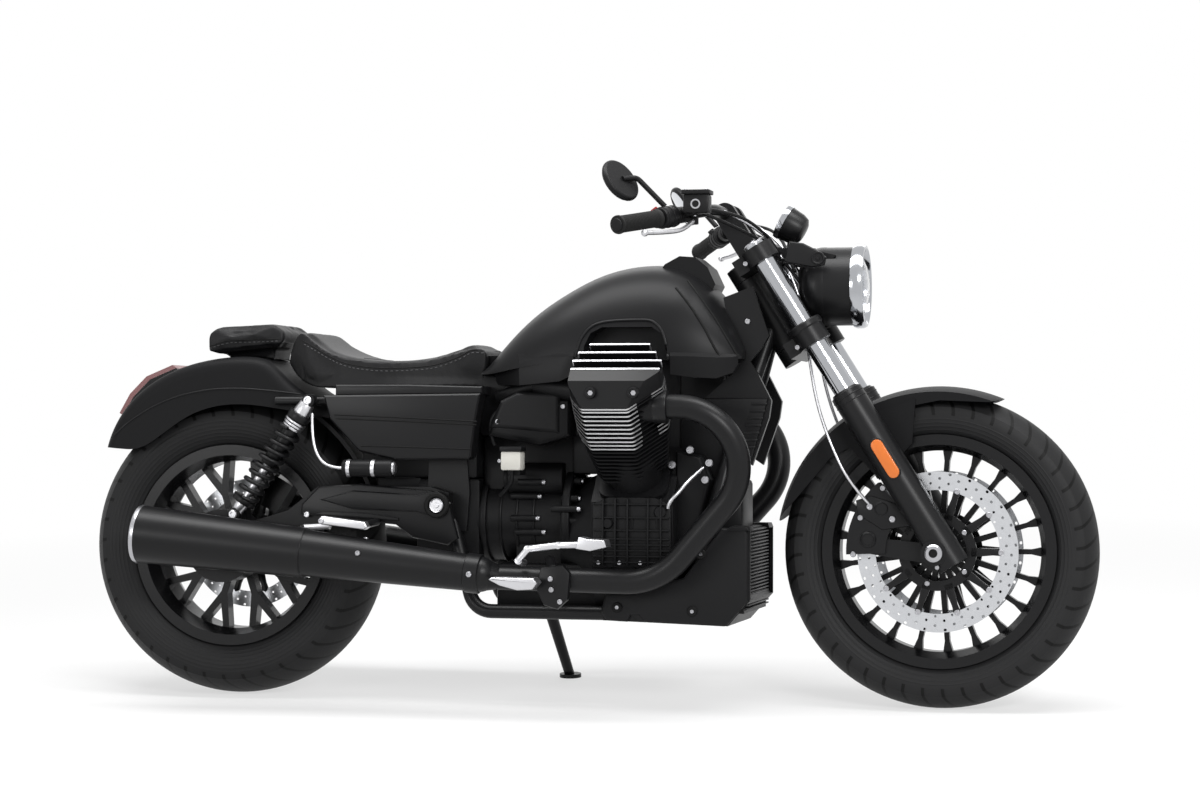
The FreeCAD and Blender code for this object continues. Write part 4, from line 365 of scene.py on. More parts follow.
def makeStudio(look):
    world = bpy.data.worlds.new("studioWorld")
    bpy.context.scene.world = world
    tree, made, links = nodeTree(world)
    out = made.new("ShaderNodeOutputWorld")
    light, white = made.new("ShaderNodeBackground"), made.new("ShaderNodeBackground")
    light.inputs["Strength"].default_value = look["worldLight"]
    white.inputs["Color"].default_value = (1, 1, 1, 1)
    path = made.new("ShaderNodeLightPath")
    either = mathNode(tree, "ADD", path.outputs["Is Camera Ray"], path.outputs["Is Glossy Ray"], True)
    also = mathNode(tree, "ADD", either, path.outputs["Is Transmission Ray"], True)
    mixShaders(tree, also, light, white, out)

    bm = bmesh.new()
    bmesh.ops.create_grid(bm, x_segments=1, y_segments=1, size=look["floor"])
    floor = makePiece("studioFloor", bm, Matrix.Identity(4))
    material = bpy.data.materials.new("paleFloor")
    tree, made, links = nodeTree(material)
    out = made.new("ShaderNodeOutputMaterial")
    matt, white = made.new("ShaderNodeBsdfDiffuse"), made.new("ShaderNodeEmission")
    matt.inputs["Color"].default_value = (*[look["floorTone"]] * 3, 1)
    path, place = made.new("ShaderNodeLightPath"), made.new("ShaderNodeTexCoord")
    far = made.new("ShaderNodeVectorMath")
    far.operation = "LENGTH"
    fade = made.new("ShaderNodeMapRange")
    for name, value in zip(("From Min", "From Max", "To Min", "To Max"), look["fade"]):
        fade.inputs[name].default_value = value
    links.new(place.outputs["Object"], far.inputs[0])
    links.new(far.outputs["Value"], fade.inputs["Value"])
    seen = mathNode(tree, "ADD", path.outputs["Is Camera Ray"], path.outputs["Is Glossy Ray"], True)
    mixShaders(tree, mathNode(tree, "MULTIPLY", seen, fade.outputs[0]), matt, white, out)
    floor.data.materials.append(material)

    for name, place, size, power, target in look["lamps"]:
        data = bpy.data.lights.new(name, "AREA")
        data.shape, data.size, data.size_y, data.energy = "RECTANGLE", size[0], size[1], power
        lamp = bpy.data.objects.new(name, data)
        lamp.location = place
        lamp.rotation_euler = (Vector(target) - Vector(place)).to_track_quat("-Z", "Y").to_euler()
        bpy.context.collection.objects.link(lamp)


makeStudio(studioLook)
print("studio ready")


def makeFinish(name, color, roughness, metallic=0.0, coat=0.0, grain=(300, 0.05, 0.05), specular=0.5, clear=0.0):
    # grain is the noise's scale, the spread that it gives the roughness and its bump
    material = bpy.data.materials.new(name)
    tree, made, links = nodeTree(material)
    out = made.new("ShaderNodeOutputMaterial")
    shader = made.new("ShaderNodeBsdfPrincipled")
    shader.name = "shader"
    for socket, value in (("Base Color", (*color, 1)), ("Roughness", roughness), ("Metallic", metallic),
                          ("Coat Weight", coat), ("Specular IOR Level", specular), ("Transmission Weight", clear)):
        shader.inputs[socket].default_value = value
    links.new(shader.outputs[0], out.inputs[0])
    scale, spread, bump = grain
    place = made.new("ShaderNodeTexCoord")
    noise = made.new("ShaderNodeTexNoise")
    noise.inputs["Scale"].default_value = scale
    noise.inputs["Detail"].default_value = 4
    links.new(place.outputs["Object"], noise.inputs["Vector"])
    span = made.new("ShaderNodeMapRange")
    span.inputs["To Min"].default_value = max(0.02, roughness - spread)
    span.inputs["To Max"].default_value = min(1.0, roughness + spread)
    links.new(noise.outputs["Fac"], span.inputs["Value"])
    links.new(span.outputs[0], shader.inputs["Roughness"])
    lift = made.new("ShaderNodeBump")
    lift.name = "lift"
    lift.inputs["Strength"].default_value = bump
    lift.inputs["Distance"].default_value = 0.0004
    links.new(noise.outputs["Fac"], lift.inputs["Height"])
    links.new(lift.outputs[0], shader.inputs["Normal"])
    return material


def splitCoords(tree, place):
    # object coordinates turned into a place's own axes, in metres
    turned = place.inverted().to_3x3().normalized()
    coord = tree.nodes.new("ShaderNodeTexCoord")
    mapping = tree.nodes.new("ShaderNodeMapping")
    mapping.inputs["Rotation"].default_value = turned.to_euler()
    mapping.inputs["Location"].default_value = turned @ (-place.translation)
    tree.links.new(coord.outputs["Object"], mapping.inputs["Vector"])
    split = tree.nodes.new("ShaderNodeSeparateXYZ")
    tree.links.new(mapping.outputs["Vector"], split.inputs[0])
    return split.outputs


finLook = {"bright": (0.62, 0.62, 0.63), "axis": (0.905, 0.35), "half": (0.093, 0.066), "rim": 0.78, "edge": 1.01,
           "low": 0.322, "flat": 0.3}


def machinedFins(material, look):
    # bright machined edges on the outer rims of the upper fins, on both cylinders
    tree = material.node_tree
    shader = tree.nodes["shader"]
    x, y, z = splitCoords(tree, bike)
    slant = math.sqrt(0.5)
    ahead = mathNode(tree, "SUBTRACT", x, look["axis"][0])
    out = mathNode(tree, "ABSOLUTE", y)
    up = mathNode(tree, "SUBTRACT", z, look["axis"][1])
    along = mathNode(tree, "MULTIPLY", mathNode(tree, "ADD", out, up), slant)
    across = mathNode(tree, "MULTIPLY", mathNode(tree, "SUBTRACT", out, up), slant)
    wide = mathNode(tree, "DIVIDE", mathNode(tree, "ABSOLUTE", ahead), look["half"][0])
    deep = mathNode(tree, "DIVIDE", mathNode(tree, "ABSOLUTE", across), look["half"][1])
    rim = mathNode(tree, "MULTIPLY", mathNode(tree, "GREATER_THAN", mathNode(tree, "MAXIMUM", wide, deep), look["rim"]),
                   mathNode(tree, "LESS_THAN", wide, look["edge"]))
    high = mathNode(tree, "GREATER_THAN", along, look["low"])
    # the cylinder's own direction on each side, to leave the fins' flat faces dark
    half = mathNode(tree, "GREATER_THAN", y, 0.0)
    sign = mathNode(tree, "SUBTRACT", mathNode(tree, "MULTIPLY", half, 2.0), 1.0)
    turn = tree.nodes.new("ShaderNodeCombineXYZ")
    outWay, upWay = upright @ Vector((0, 1, 0)), upright @ Vector((0, 0, 1))
    for i in range(3):
        value = mathNode(tree, "ADD", mathNode(tree, "MULTIPLY", sign, outWay[i] * slant), upWay[i] * slant)
        tree.links.new(value, turn.inputs[i])
    geometry = tree.nodes.new("ShaderNodeNewGeometry")
    facing = tree.nodes.new("ShaderNodeVectorMath")
    facing.operation = "DOT_PRODUCT"
    tree.links.new(geometry.outputs["True Normal"], facing.inputs[0])
    tree.links.new(turn.outputs[0], facing.inputs[1])
    flat = mathNode(tree, "LESS_THAN", mathNode(tree, "ABSOLUTE", facing.outputs["Value"]), look["flat"])
    mask = mathNode(tree, "MULTIPLY", mathNode(tree, "MULTIPLY", rim, high), flat)
    mixColors(tree, shader, mask, look["bright"])
    tree.links.new(mask, shader.inputs["Metallic"])


# dark is the near-black colour painted into the tread grooves as painted shade
treadLook = {"front": {"radius": 0.325, "half": 0.063, "count": 44},
             "rear": {"radius": 0.323, "half": 0.096, "count": 40},
             "slant": 14.0, "width": 0.17, "shoulder": 0.044, "wall": 0.05, "rings": 420.0, "ringHeight": 0.12,
             "middle": 0.16, "depth": 0.005, "strength": 0.9, "dark": (0.0015, 0.0015, 0.0015)}


def treadRubber(material, place, size, look):
    # slanted grooves on the tread and fine rings on the sidewall; the grooves are also painted near-black, as painted
    # shade in the grooves
    tree = material.node_tree
    shader, lift = tree.nodes["shader"], tree.nodes["lift"]
    x, y, z = splitCoords(tree, place)
    angle = mathNode(tree, "ARCTAN2", z, x)
    away = mathNode(tree, "ABSOLUTE", y)
    squares = mathNode(tree, "ADD", mathNode(tree, "MULTIPLY", x, x), mathNode(tree, "MULTIPLY", z, z))
    reach = mathNode(tree, "SQRT", squares)
    slanted = mathNode(tree, "ADD", mathNode(tree, "MULTIPLY", angle, size["count"] / math.tau),
                       mathNode(tree, "MULTIPLY", away, look["slant"]))
    groove = mathNode(tree, "LESS_THAN", mathNode(tree, "FRACT", slanted), look["width"])
    onTread = mathNode(tree, "GREATER_THAN", reach, size["radius"] - look["shoulder"])
    offMiddle = mathNode(tree, "GREATER_THAN", away, size["half"] * look["middle"])
    cut = mathNode(tree, "MULTIPLY", mathNode(tree, "MULTIPLY", groove, onTread), offMiddle)
    rings = mathNode(tree, "SINE", mathNode(tree, "MULTIPLY", reach, look["rings"]))
    onWall = mathNode(tree, "LESS_THAN", reach, size["radius"] - look["wall"])
    ridges = mathNode(tree, "MULTIPLY", mathNode(tree, "MULTIPLY", mathNode(tree, "POWER", rings, 6.0), onWall),
                      look["ringHeight"])
    carve = tree.nodes.new("ShaderNodeBump")
    carve.inputs["Strength"].default_value = look["strength"]
    carve.inputs["Distance"].default_value = look["depth"]
    tree.links.new(mathNode(tree, "SUBTRACT", ridges, cut), carve.inputs["Height"])
    tree.links.new(lift.outputs[0], carve.inputs["Normal"])
    tree.links.new(carve.outputs[0], shader.inputs["Normal"])
    # painted shade: the grooves' colour is mixed towards near-black
    mixColors(tree, shader, cut, look["dark"])


# colour, roughness, metallic, coat, grain, specular, clear
finishLook = {
    "satinBlack": ((0.0055, 0.0055, 0.006), 0.36, 0, 0, (900, 0.04, 0.03), 0.2, 0),
    "fenderBlack": ((0.008, 0.008, 0.0085), 0.5, 0, 0, (900, 0.04, 0.03), 0.07, 0),
    "tankBlack": ((0.006, 0.006, 0.0065), 0.4, 0, 0, (900, 0.04, 0.03), 0.14, 0),
    "wheelBlack": ((0.005, 0.005, 0.0055), 0.26, 0, 0, (700, 0.04, 0.03), 0.22, 0),
    "engineBlack": ((0.005, 0.005, 0.0055), 0.45, 0, 0, (1200, 0.08, 0.2), 0.14, 0),
    "finBlack": ((0.005, 0.005, 0.0055), 0.4, 0, 0, (1100, 0.06, 0.1), 0.14, 0),
    "frontRubber": ((0.013, 0.013, 0.0135), 0.55, 0, 0, (260, 0.1, 0.25), 0.16, 0),
    "rearRubber": ((0.013, 0.013, 0.0135), 0.55, 0, 0, (260, 0.1, 0.25), 0.16, 0),
    "discSteel": ((0.55, 0.56, 0.58), 0.3, 1, 0, (160, 0.08, 0.05), 0.5, 0),
    "chrome": ((0.42, 0.43, 0.45), 0.12, 1, 0, (400, 0.01, 0.0), 0.5, 0),
    "steel": ((0.42, 0.42, 0.44), 0.3, 1, 0, (200, 0.08, 0.05), 0.5, 0),
    "aluminium": ((0.58, 0.58, 0.6), 0.34, 1, 0, (220, 0.08, 0.08), 0.5, 0),
    "darkPlastic": ((0.006, 0.006, 0.0065), 0.44, 0, 0, (1500, 0.08, 0.25), 0.15, 0),
    "gripRubber": ((0.008, 0.008, 0.008), 0.6, 0, 0, (900, 0.1, 0.3), 0.18, 0),
    "seatCover": ((0.006, 0.006, 0.0065), 0.48, 0, 0, (420, 0.08, 0.6), 0.18, 0),
    "thread": ((0.05, 0.05, 0.052), 0.7, 0, 0, (3000, 0.1, 0.6), 0.5, 0),
    # the near-black finish on the next line is painted shade for grooves, seams, slots, wells and bores
    "paintedGapShade": ((0.002, 0.002, 0.002), 0.7, 0, 0, (600, 0.05, 0.1), 0.2, 0),
    "redLens": ((0.11, 0.003, 0.004), 0.22, 0, 0.15, (60, 0.04, 0.01), 0.25, 0),
    "amberLens": ((0.55, 0.13, 0.012), 0.3, 0, 0.2, (500, 0.05, 0.4), 0.5, 0),
    "whiteLens": ((0.55, 0.5, 0.47), 0.2, 0, 0.5, (400, 0.05, 0.2), 0.5, 0),
    "clearLens": ((0.97, 0.98, 1.0), 0.03, 0, 0, (90, 0.02, 0.02), 0.5, 1),
    "milkPlastic": ((0.5, 0.49, 0.45), 0.45, 0, 0, (300, 0.06, 0.1), 0.5, 0),
    "redPlastic": ((0.22, 0.006, 0.006), 0.4, 0, 0, (700, 0.05, 0.1), 0.5, 0),
    "silverMesh": ((0.05, 0.05, 0.052), 0.5, 1, 0, (2600, 0.12, 0.9), 0.5, 0),
    "lampSilver": ((0.3, 0.3, 0.32), 0.2, 1, 0, (400, 0.02, 0.0), 0.5, 0),
    "mirrorGlass": ((0.7, 0.72, 0.75), 0.02, 1, 0, (30, 0.01, 0.005), 0.5, 0),
    "dialFace": ((0.02, 0.02, 0.022), 0.25, 0, 0.8, (200, 0.05, 0.02), 0.5, 0),
}
finishes = {name: makeFinish(name, *look) for name, look in finishLook.items()}
machinedFins(finishes["finBlack"], finLook)
treadRubber(finishes["frontRubber"], frontHub, treadLook["front"], treadLook)
treadRubber(finishes["rearRubber"], rearHub, treadLook["rear"], treadLook)

nodeFinish = {
    "satinBlack": "frame head_covers exhaust_headers mufflers swing_arm rear_caliper shocks side_panels neck_covers "
                  "fork_yokes fork_sliders handlebar headlamp_bucket lamp_bracket instrument front_calipers side_stand",
    "fenderBlack": "rear_fender front_fender", "tankBlack": "fuel_tank", "wheelBlack": "front_rim rear_rim",
    "engineBlack": "crankcase alternator_cover gearbox oil_cooler", "finBlack": "cylinders",
    "darkPlastic": "air_box lower_cover hand_controls mirrors", "gripRubber": "grips",
    "seatCover": "seat passenger_pad", "redLens": "tail_lamp", "clearLens": "headlamp_lens",
    "steel": "rear_axle front_axle", "aluminium": "footpegs", "chrome": "fork_stanchions headlamp_rim",
    "frontRubber": "front_tyre", "rearRubber": "rear_tyre", "discSteel": "front_discs rear_disc",
}
for finish, names in nodeFinish.items():
    for name in names.split():
        for place in nodes[name].material_slots:
            place.material = finishes[finish]
print("finishes on the CAD nodes")

# padded seat and pad, blown up a little with Cloth
padLook = {"seat": {"voxel": 0.006, "inset": 0.0035, "pressure": 4.0, "cap": 0.006, "still": 0.022},
           "passenger_pad": {"voxel": 0.005, "inset": 0.003, "pressure": 4.0, "cap": 0.005, "still": 0.016},
           "frames": 20, "fill": 0.7}


def bakedMesh(piece):
    return bpy.data.meshes.new_from_object(piece.evaluated_get(bpy.context.evaluated_depsgraph_get()))


def makePadded(name, node, look):
    bm = bmesh.new()
    bm.from_mesh(nodes[node].data)
    bmesh.ops.remove_doubles(bm, verts=bm.verts, dist=0.00005)
    bmesh.ops.recalc_face_normals(bm, faces=bm.faces)
    raw = bpy.data.meshes.new(name + "Raw")
    bm.to_mesh(raw)
    bm.free()
    piece = bpy.data.objects.new(name, raw)
    bpy.context.collection.objects.link(piece)
    remesh = piece.modifiers.new("voxels", "REMESH")
    remesh.mode, remesh.voxel_size = "VOXEL", look["voxel"]
    even = piece.modifiers.new("even", "SMOOTH")
    even.iterations, even.factor = 4, 0.5
    piece.data = bakedMesh(piece)
    piece.modifiers.clear()
    for vertex in piece.data.vertices:
        vertex.co -= vertex.normal * look["inset"]
    start = [vertex.co.copy() for vertex in piece.data.vertices]
    back = stance.inverted()
    heights = [(back @ co).z for co in start]
    low = min(heights)
    cloth = piece.modifiers.new("cloth", "CLOTH")
    cloth.settings.use_pressure = True
    cloth.settings.uniform_pressure_force = look["pressure"]
    cloth.settings.effector_weights.gravity = 0
    cloth.point_cache.frame_start, cloth.point_cache.frame_end = 1, padLook["frames"]
    for number in range(1, padLook["frames"] + 1):
        bpy.context.scene.frame_set(number)
    moves = [vertex.co - co for vertex, co in zip(bakedMesh(piece).vertices, start)]
    piece.modifiers.clear()
    bpy.context.scene.frame_set(1)
    # the foot of the cushion stays where it is, and nothing swells past the cap
    for vertex, co, move, height in zip(piece.data.vertices, start, moves, heights):
        share = min(1.0, max(0.0, (height - low) / look["still"]))
        if move.length > look["cap"]:
            move = move.normalized() * look["cap"]
        vertex.co = co + move * share
    piece.data.shade_smooth()
    divide = piece.modifiers.new("divide", "SUBSURF")
    divide.levels = divide.render_levels = 1
    piece.data.materials.clear()
    piece.data.materials.append(finishes["seatCover"])
    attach(piece, "chassis")
    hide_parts(node)
    return piece


seat = makePadded("seatCushion", "seat", padLook["seat"])
pad = makePadded("passengerCushion", "passenger_pad", padLook["passenger_pad"])
print("cushions ready")

# sewn lines on the cushions: a closed seam with a row of stitches under it, and one seam across the seat
seamLook = {"seat": [(566, 742), (540, 742), (513, 728), (468, 711), (424, 705), (356, 703), (289, 711),
                     (243, 728), (200, 750), (172, 764)],
            "pad": [(-44, 752), (0, 764), (60, 766), (118, 768)], "side": 40, "below": {"seat": 6, "pad": 5},
            "across": [(310, y, 900) for y in range(-110, 111, 20)], "seamRadius": 0.0012, "threadRadius": 0.0008,
            "lift": 0.0004, "pitch": 2.5}


def makeSeams(look):
    seams, threads = [], []
    skins = {"seat": skinOf(seat), "pad": skinOf(pad)}
    for side in (-1, 1):
        for name, skin in skins.items():
            y = side * look["side"]
            seams.append(drape(skin, [(x, y, z) for x, z in look[name]], side))
            row = drape(skin, [(x, y, z - look["below"][name]) for x, z in look[name]], side, look["lift"],
                        look["pitch"])
            threads += [row[i:i + 3] for i in range(0, len(row) - 3, 4)]
    seams.append(drape(skins["seat"], look["across"], 0))
    # the seam lines are near-black: painted shade in the seams' creases
    makeLines("seatSeams", seams, look["seamRadius"], "paintedGapShade", "chassis")
    makeLines("seatThreads", threads, look["threadRadius"], "thread", "chassis", smooth=False)


makeSeams(seamLook)
print("seams ready")

# drilled discs: a polar grid whose cells are opened with eight-sided holes, on a black star with bright buttons
discLook = {"front": {"outer": 165, "inner": 127, "thick": 5, "rows": 4, "cells": 96, "hole": 2.7, "hub": 72},
            "rear": {"outer": 141, "inner": 107, "thick": 5, "rows": 4, "cells": 92, "hole": 2.4, "hub": 62},
            "arms": 10, "bolts": 5, "starThick": 7, "face": 3.4}


def discPart(look):
    part = bmesh.new()
    step = (look["outer"] - look["inner"]) / look["rows"]
    verts = [part.verts.new((look["inner"] + step * i, 0, -look["thick"] / 2)) for i in range(look["rows"] + 1)]
    edges = [part.edges.new(pair) for pair in zip(verts, verts[1:])]
    bmesh.ops.spin(part, geom=verts + edges, cent=(0, 0, 0), axis=(0, 0, 1), angle=math.tau, steps=look["cells"],
                   use_merge=True)
    chosen = []
    for face in part.faces:
        middle = face.calc_center_median()
        row = int((math.hypot(middle.x, middle.y) - look["inner"]) / step)
        cell = round((math.atan2(middle.y, middle.x) / math.tau) * look["cells"] - 0.5)
        if (cell + row * 2) % 4 == 0:
            chosen.append(face)
    bmesh.ops.inset_individual(part, faces=chosen, thickness=step / 2 - look["hole"], use_even_offset=True)
    corners = list({vertex for face in chosen for vertex in face.verts})
    bmesh.ops.bevel(part, geom=corners, offset=look["hole"] * 0.55, segments=1, profile=0.5, affect="VERTICES",
                    material=-1)
    holes = [face for face in part.faces if len(face.verts) == 8 and face.calc_area() < look["hole"] ** 2 * 4.6]
    bmesh.ops.delete(part, geom=holes, context="FACES")
    bmesh.ops.recalc_face_normals(part, faces=part.faces)
    bmesh.ops.solidify(part, geom=list(part.faces), thickness=look["thick"])
    return part


def starPart(outer, hub):
    part = bmesh.new()
    half = discLook["starThick"] / 2
    lie = Matrix.Rotation(math.radians(-90), 4, "X")
    for i in range(discLook["arms"]):
        arm = platePart([(hub - 4, -10), (outer - 18, -6), (outer - 2, -7), (outer + 3, 0), (outer - 2, 7),
                         (outer - 18, 6), (hub - 4, 10)], -half, half, 0.8)
        stamp(part, arm, Matrix.Rotation(math.tau * i / discLook["arms"], 4, "Z") @ lie)
    stamp(part, spunPart([(hub - 12, -half), (hub + 8, -half), (hub + 8, half), (hub - 12, half)], 48, True))
    return part


def makeDisc(name, look, place, distances, node, body):
    bm = bmesh.new()
    for at in distances:
        outward = 1 if at > 0 else -1
        flat = toward((0, at, 0), (0, 1, 0))
        stamp(bm, discPart(look), flat, 0)
        stamp(bm, starPart(look["inner"] + 4, look["hub"]), flat, 1)
        for count, share, reach, radius, height in ((discLook["arms"], 0, look["inner"] + 3, 6, 2.2),
                                                    (discLook["bolts"], 0.5, look["hub"] - 4, 5.5, 3.5)):
            for i in range(count):
                turn = math.tau * (i + share) / count
                spot = (reach * math.cos(turn), at + outward * discLook["face"], reach * math.sin(turn))
                stamp(bm, boltPart(radius, height), toward(spot, (0, outward, 0)), 2)
    makePiece(name, bm, place, ["discSteel", "wheelBlack", "steel"], body, (node,), 30)


makeDisc("frontDrilledDiscs", discLook["front"], frontHub, (69.5, -69.5), "front_discs", "front_wheel")
makeDisc("rearDrilledDisc", discLook["rear"], rearHub, (61.5,), "rear_disc", "rear_wheel")
print("discs ready")

# coil-over shocks: eyes, body, adjuster collars, rod and coil
# a row is the distances from the top eye, or from the foot when below zero, two radii, rim and finish
shockLook = {"top": (205, 634), "foot": (40, 392), "side": 163, "turns": 9, "wire": 4.6, "coil": 25, "first": 72,
             "last": 44, "eye": (14, 13, 1.5), "bodyShare": 0.56,
             "rods": [(8, 34, 16, 19, 1, 1), (34, 50, 25, 25, 2, 0), (52, 57, 24, 24, 1, 1), (59, 64, 23, 23, 1, 1),
                      (66, 71, 22, 22, 1, 1), (60, -10, 8.5, 8.5, 0, 1), (-42, -30, 27, 27, 2, 0),
                      (-30, -6, 15, 12, 1, 1)]}


def makeShocks(look):
    bm = bmesh.new()
    coils = []
    eyeRadius, eyeHalf, eyeRim = look["eye"]
    for side in (-1, 1):
        y = side * look["side"]
        top, foot = Vector((look["top"][0], y, look["top"][1])), Vector((look["foot"][0], y, look["foot"][1]))
        way = (foot - top).normalized()
        length = (foot - top).length
        for end in (top, foot):
            across = Vector((0, eyeHalf, 0))
            stamp(bm, rodPart(end - across, end + across, eyeRadius, rim=eyeRim), index=0)
            stamp(bm, boltPart(9, 6), toward(end + across * side, (0, side, 0)), 1)
        for start, stop, near, far, rim, index in look["rods"]:
            first, last = (top + way * (at if at > 0 else length + at) for at in (start, stop))
            stamp(bm, rodPart(first, last, near, far, rim=rim), index=index)
        stamp(bm, rodPart(top + way * 45, top + way * (length * look["bodyShare"]), 16.5, rim=1), index=0)
        turn = toward(top + way * look["first"], way)
        knots = look["turns"] * 12
        rise = (length - look["first"] - look["last"]) / knots
        coils.append([bike @ (turn @ Vector((look["coil"] * math.cos(math.tau * i / 12),
                                             look["coil"] * math.sin(math.tau * i / 12), rise * i)))
                      for i in range(knots + 1)])
    makePiece("shockBodies", bm, bike, ["satinBlack", "aluminium"], "chassis", ("shocks",))
    makeLines("shockSprings", coils, look["wire"] / 1000, "satinBlack", "chassis")


makeShocks(shockLook)

# ribbed grips with end caps
barLook = {"end": (-156, 450, 868), "way": (-150, 280, 36), "grip": 128, "ribs": 26, "radius": 16.2, "bore": 12.2,
           "rib": 1.2}


def alongGrip(distance, side):
    point = Vector(barLook["end"]) - Vector(barLook["way"]).normalized() * distance
    return Vector(sided(point, side))


def makeGrips(look):
    bm = bmesh.new()
    bore, radius, high = look["bore"], look["radius"], look["radius"] + look["rib"]
    for side in (-1, 1):
        start, finish = alongGrip(0, side), alongGrip(look["grip"], side)
        length = (finish - start).length
        profile = [(bore, 0), (18.5, 0), (19, 2), (19, 5), (radius, 7)]
        pitch = (length - 14) / look["ribs"]
        for i in range(look["ribs"]):
            at = 7 + pitch * i
            profile += [(radius, at + pitch * 0.2), (high, at + pitch * 0.4), (high, at + pitch * 0.75),
                        (radius, at + pitch * 0.95)]
        profile += [(18.5, length - 5), (19.5, length - 3), (19.5, length - 0.5), (bore, length - 0.5)]
        stamp(bm, spunPart(profile, 32, True), toward(start, finish - start), 0)
        cap = [(0, 3.6), (8, 3.6), (12, 3), (13.4, 1), (13.4, 0), (0, 0)]
        stamp(bm, spunPart(cap, 32), toward(start, (start - finish).normalized()), 1)
    makePiece("ribbedGrips", bm, fork, ["gripRubber", "darkPlastic"], "steering", ("grips",))


makeGrips(barLook)

# switch housings, levers and the brake fluid's box; distances run inwards from the bar's end
controlLook = {"housing": (134, 184, 21.5), "perch": (190, 212, 17), "fore": (0.93, 0, -0.36), "pivot": 32,
               "knee": (118, 60), "tip": (14, 50), "blade": 4.6,
               "button": (144, (-15, 0, 15)), "switch": (166, (-19, 0, 8)),
               "cup": ((1040, -322, 1010), (1092, -280, 1048)), "lid": ((1037, -325, 1048), (1095, -277, 1057)),
               "neck": (1062, -292, 1020), "window": (1066, -322, 1028), "screws": ((1045, 1087), (-318, -284))}


def barSpot(distance, side):
    # a point on the grip's middle line, in the upright machine's millimetres
    return bike.inverted() @ (fork @ alongGrip(distance, side))


def makeHandControls(look):
    bm = bmesh.new()
    fore = Vector(look["fore"]).normalized()
    near, far, radius = look["housing"]
    perchNear, perchFar, perchRadius = look["perch"]
    for side in (-1, 1):
        way = (barSpot(far, side) - barSpot(near, side)).normalized()
        stamp(bm, rodPart(barSpot(near, side), barSpot(far, side), radius, rim=2.5, segments=32), index=0)
        for at in (near + 8, (near + far) / 2, far - 8):
            stamp(bm, ringPart(radius + 0.3, 0.8, 32, 6), toward(barSpot(at, side), way), 0)
        stamp(bm, rodPart(barSpot(perchNear, side), barSpot(perchFar, side), perchRadius, rim=2, segments=32),
              index=0)
        perch = barSpot((perchNear + perchFar) / 2, side)
        pivot = perch + fore * look["pivot"]
        upward = Vector((0, 0, 8))
        stamp(bm, rodPart(perch, pivot, 10, 8, rim=1.5), index=0)
        stamp(bm, rodPart(pivot - upward, pivot + upward, 9, rim=1.5), index=0)
        stamp(bm, boltPart(4, 3), toward(pivot + upward, (0, 0, 1)), 2)
        knee, tip = (barSpot(at, side) + fore * ahead for at, ahead in (look["knee"], look["tip"]))
        run = smoothRun([pivot, knee, (knee + tip) / 2 + fore * 5, tip], 9)
        for first, second in zip(run, run[1:]):
            stamp(bm, rodPart(first, second + (second - first) * 0.15, look["blade"], segments=12), index=3)
        stamp(bm, rodPart(tip - way * 5, tip + way * 5, 7, rim=3), index=3)
        # the red button is on the right grip alone
        for at, lift, size, aim, index in ((*look["button"], (6, 7, 5), (-0.6, 0, 0.8), 1 if side < 0 else 0),
                                           (*look["switch"], (5, 5, 5), (-0.9, 0, 0.4), 0)):
            spot = barSpot(at, side) + Vector(lift)
            stamp(bm, boxPart([-half for half in size], size, 1.5), toward(spot, aim), index)
    stamp(bm, boxPart(*look["cup"], 4), index=0)
    stamp(bm, boxPart(*look["lid"], 2), index=0)
    stamp(bm, rodPart(barSpot((perchNear + perchFar) / 2, -1), look["neck"], 11, rim=1.5), index=0)
    for x in look["screws"][0]:
        for y in look["screws"][1]:
            stamp(bm, boltPart(3, 1.6), toward((x, y, look["lid"][1][2]), (0, 0, 1)), 2)
    stamp(bm, spunPart([(7, 0), (10, 0), (10, 1.4), (7, 1.4)], 32, True), toward(look["window"], (0, -1, 0)), 2)
    makePiece("handControlSet", bm, bike, ["darkPlastic", "redPlastic", "steel", "aluminium"], "steering",
              ("hand_controls",), 34)


makeHandControls(controlLook)

# headlamp: bowl with its bulb shield, domed lens and rim, all (radius, along) from the lamp's face
lampLook = {"face": (1348.7, 0, 875.2), "glass": 2.5, "glassShare": 0.97,
            "bowl": [(73, 0), (72, -8), (66, -26), (52, -44), (34, -58), (16, -66), (0, -67)],
            "shield": [(0, -22), (13, -24), (17, -30), (17, -58), (0, -60)],
            "dome": [(0, 27), (20, 26), (40, 22.5), (58, 15.5), (68, 9), (74.5, 3)],
            "rim": [(75, 3), (76, 18), (80, 23), (85, 22), (88, 16), (88.5, 4), (86, -3), (83, -3), (82.5, 1), (77, 1)]}


def makeHeadlamp(look):
    place = bike @ toward(look["face"], (1, 0, 0))
    bowl, lens, rim = bmesh.new(), bmesh.new(), bmesh.new()
    stamp(bowl, spunPart(look["bowl"], 64))
    stamp(bowl, spunPart(look["shield"], 40))
    inner = [(radius * look["glassShare"], along - look["glass"]) for radius, along in reversed(look["dome"])]
    stamp(lens, spunPart(look["dome"] + inner))
    stamp(rim, spunPart(look["rim"], 72, True))
    makePiece("lampBowl", bowl, place, ["lampSilver"], "steering")
    makePiece("lampLens", lens, place, ["clearLens"], "steering", ("headlamp_lens",), 60)
    makePiece("lampRim", rim, place, ["chrome"], "steering", ("headlamp_rim",), 40)


makeHeadlamp(lampLook)

# instrument: cup, bezel, dial with marks, needle and its foot
dialLook = {"face": (1194, 0, 1013), "way": (-0.875, 0, 0.484), "foot": (1212, 0, 957), "marks": 41, "first": 225,
            "sweep": 270, "reach": 30,
            "cup": [(0, -52), (20, -51), (29, -46), (34, -34), (36.5, -8), (36.5, -2), (0, -2)],
            "bezel": [(32, -2), (32, 2), (34, 4), (37.5, 3), (38.4, 0), (38, -8), (36.4, -8), (36.4, -2)],
            "plate": [(0, 0.4), (32.2, 0.4), (32.2, -1), (0, -1)], "cap": [(0, 2.6), (3.5, 2.4), (4, 0.6), (0, 0.6)]}


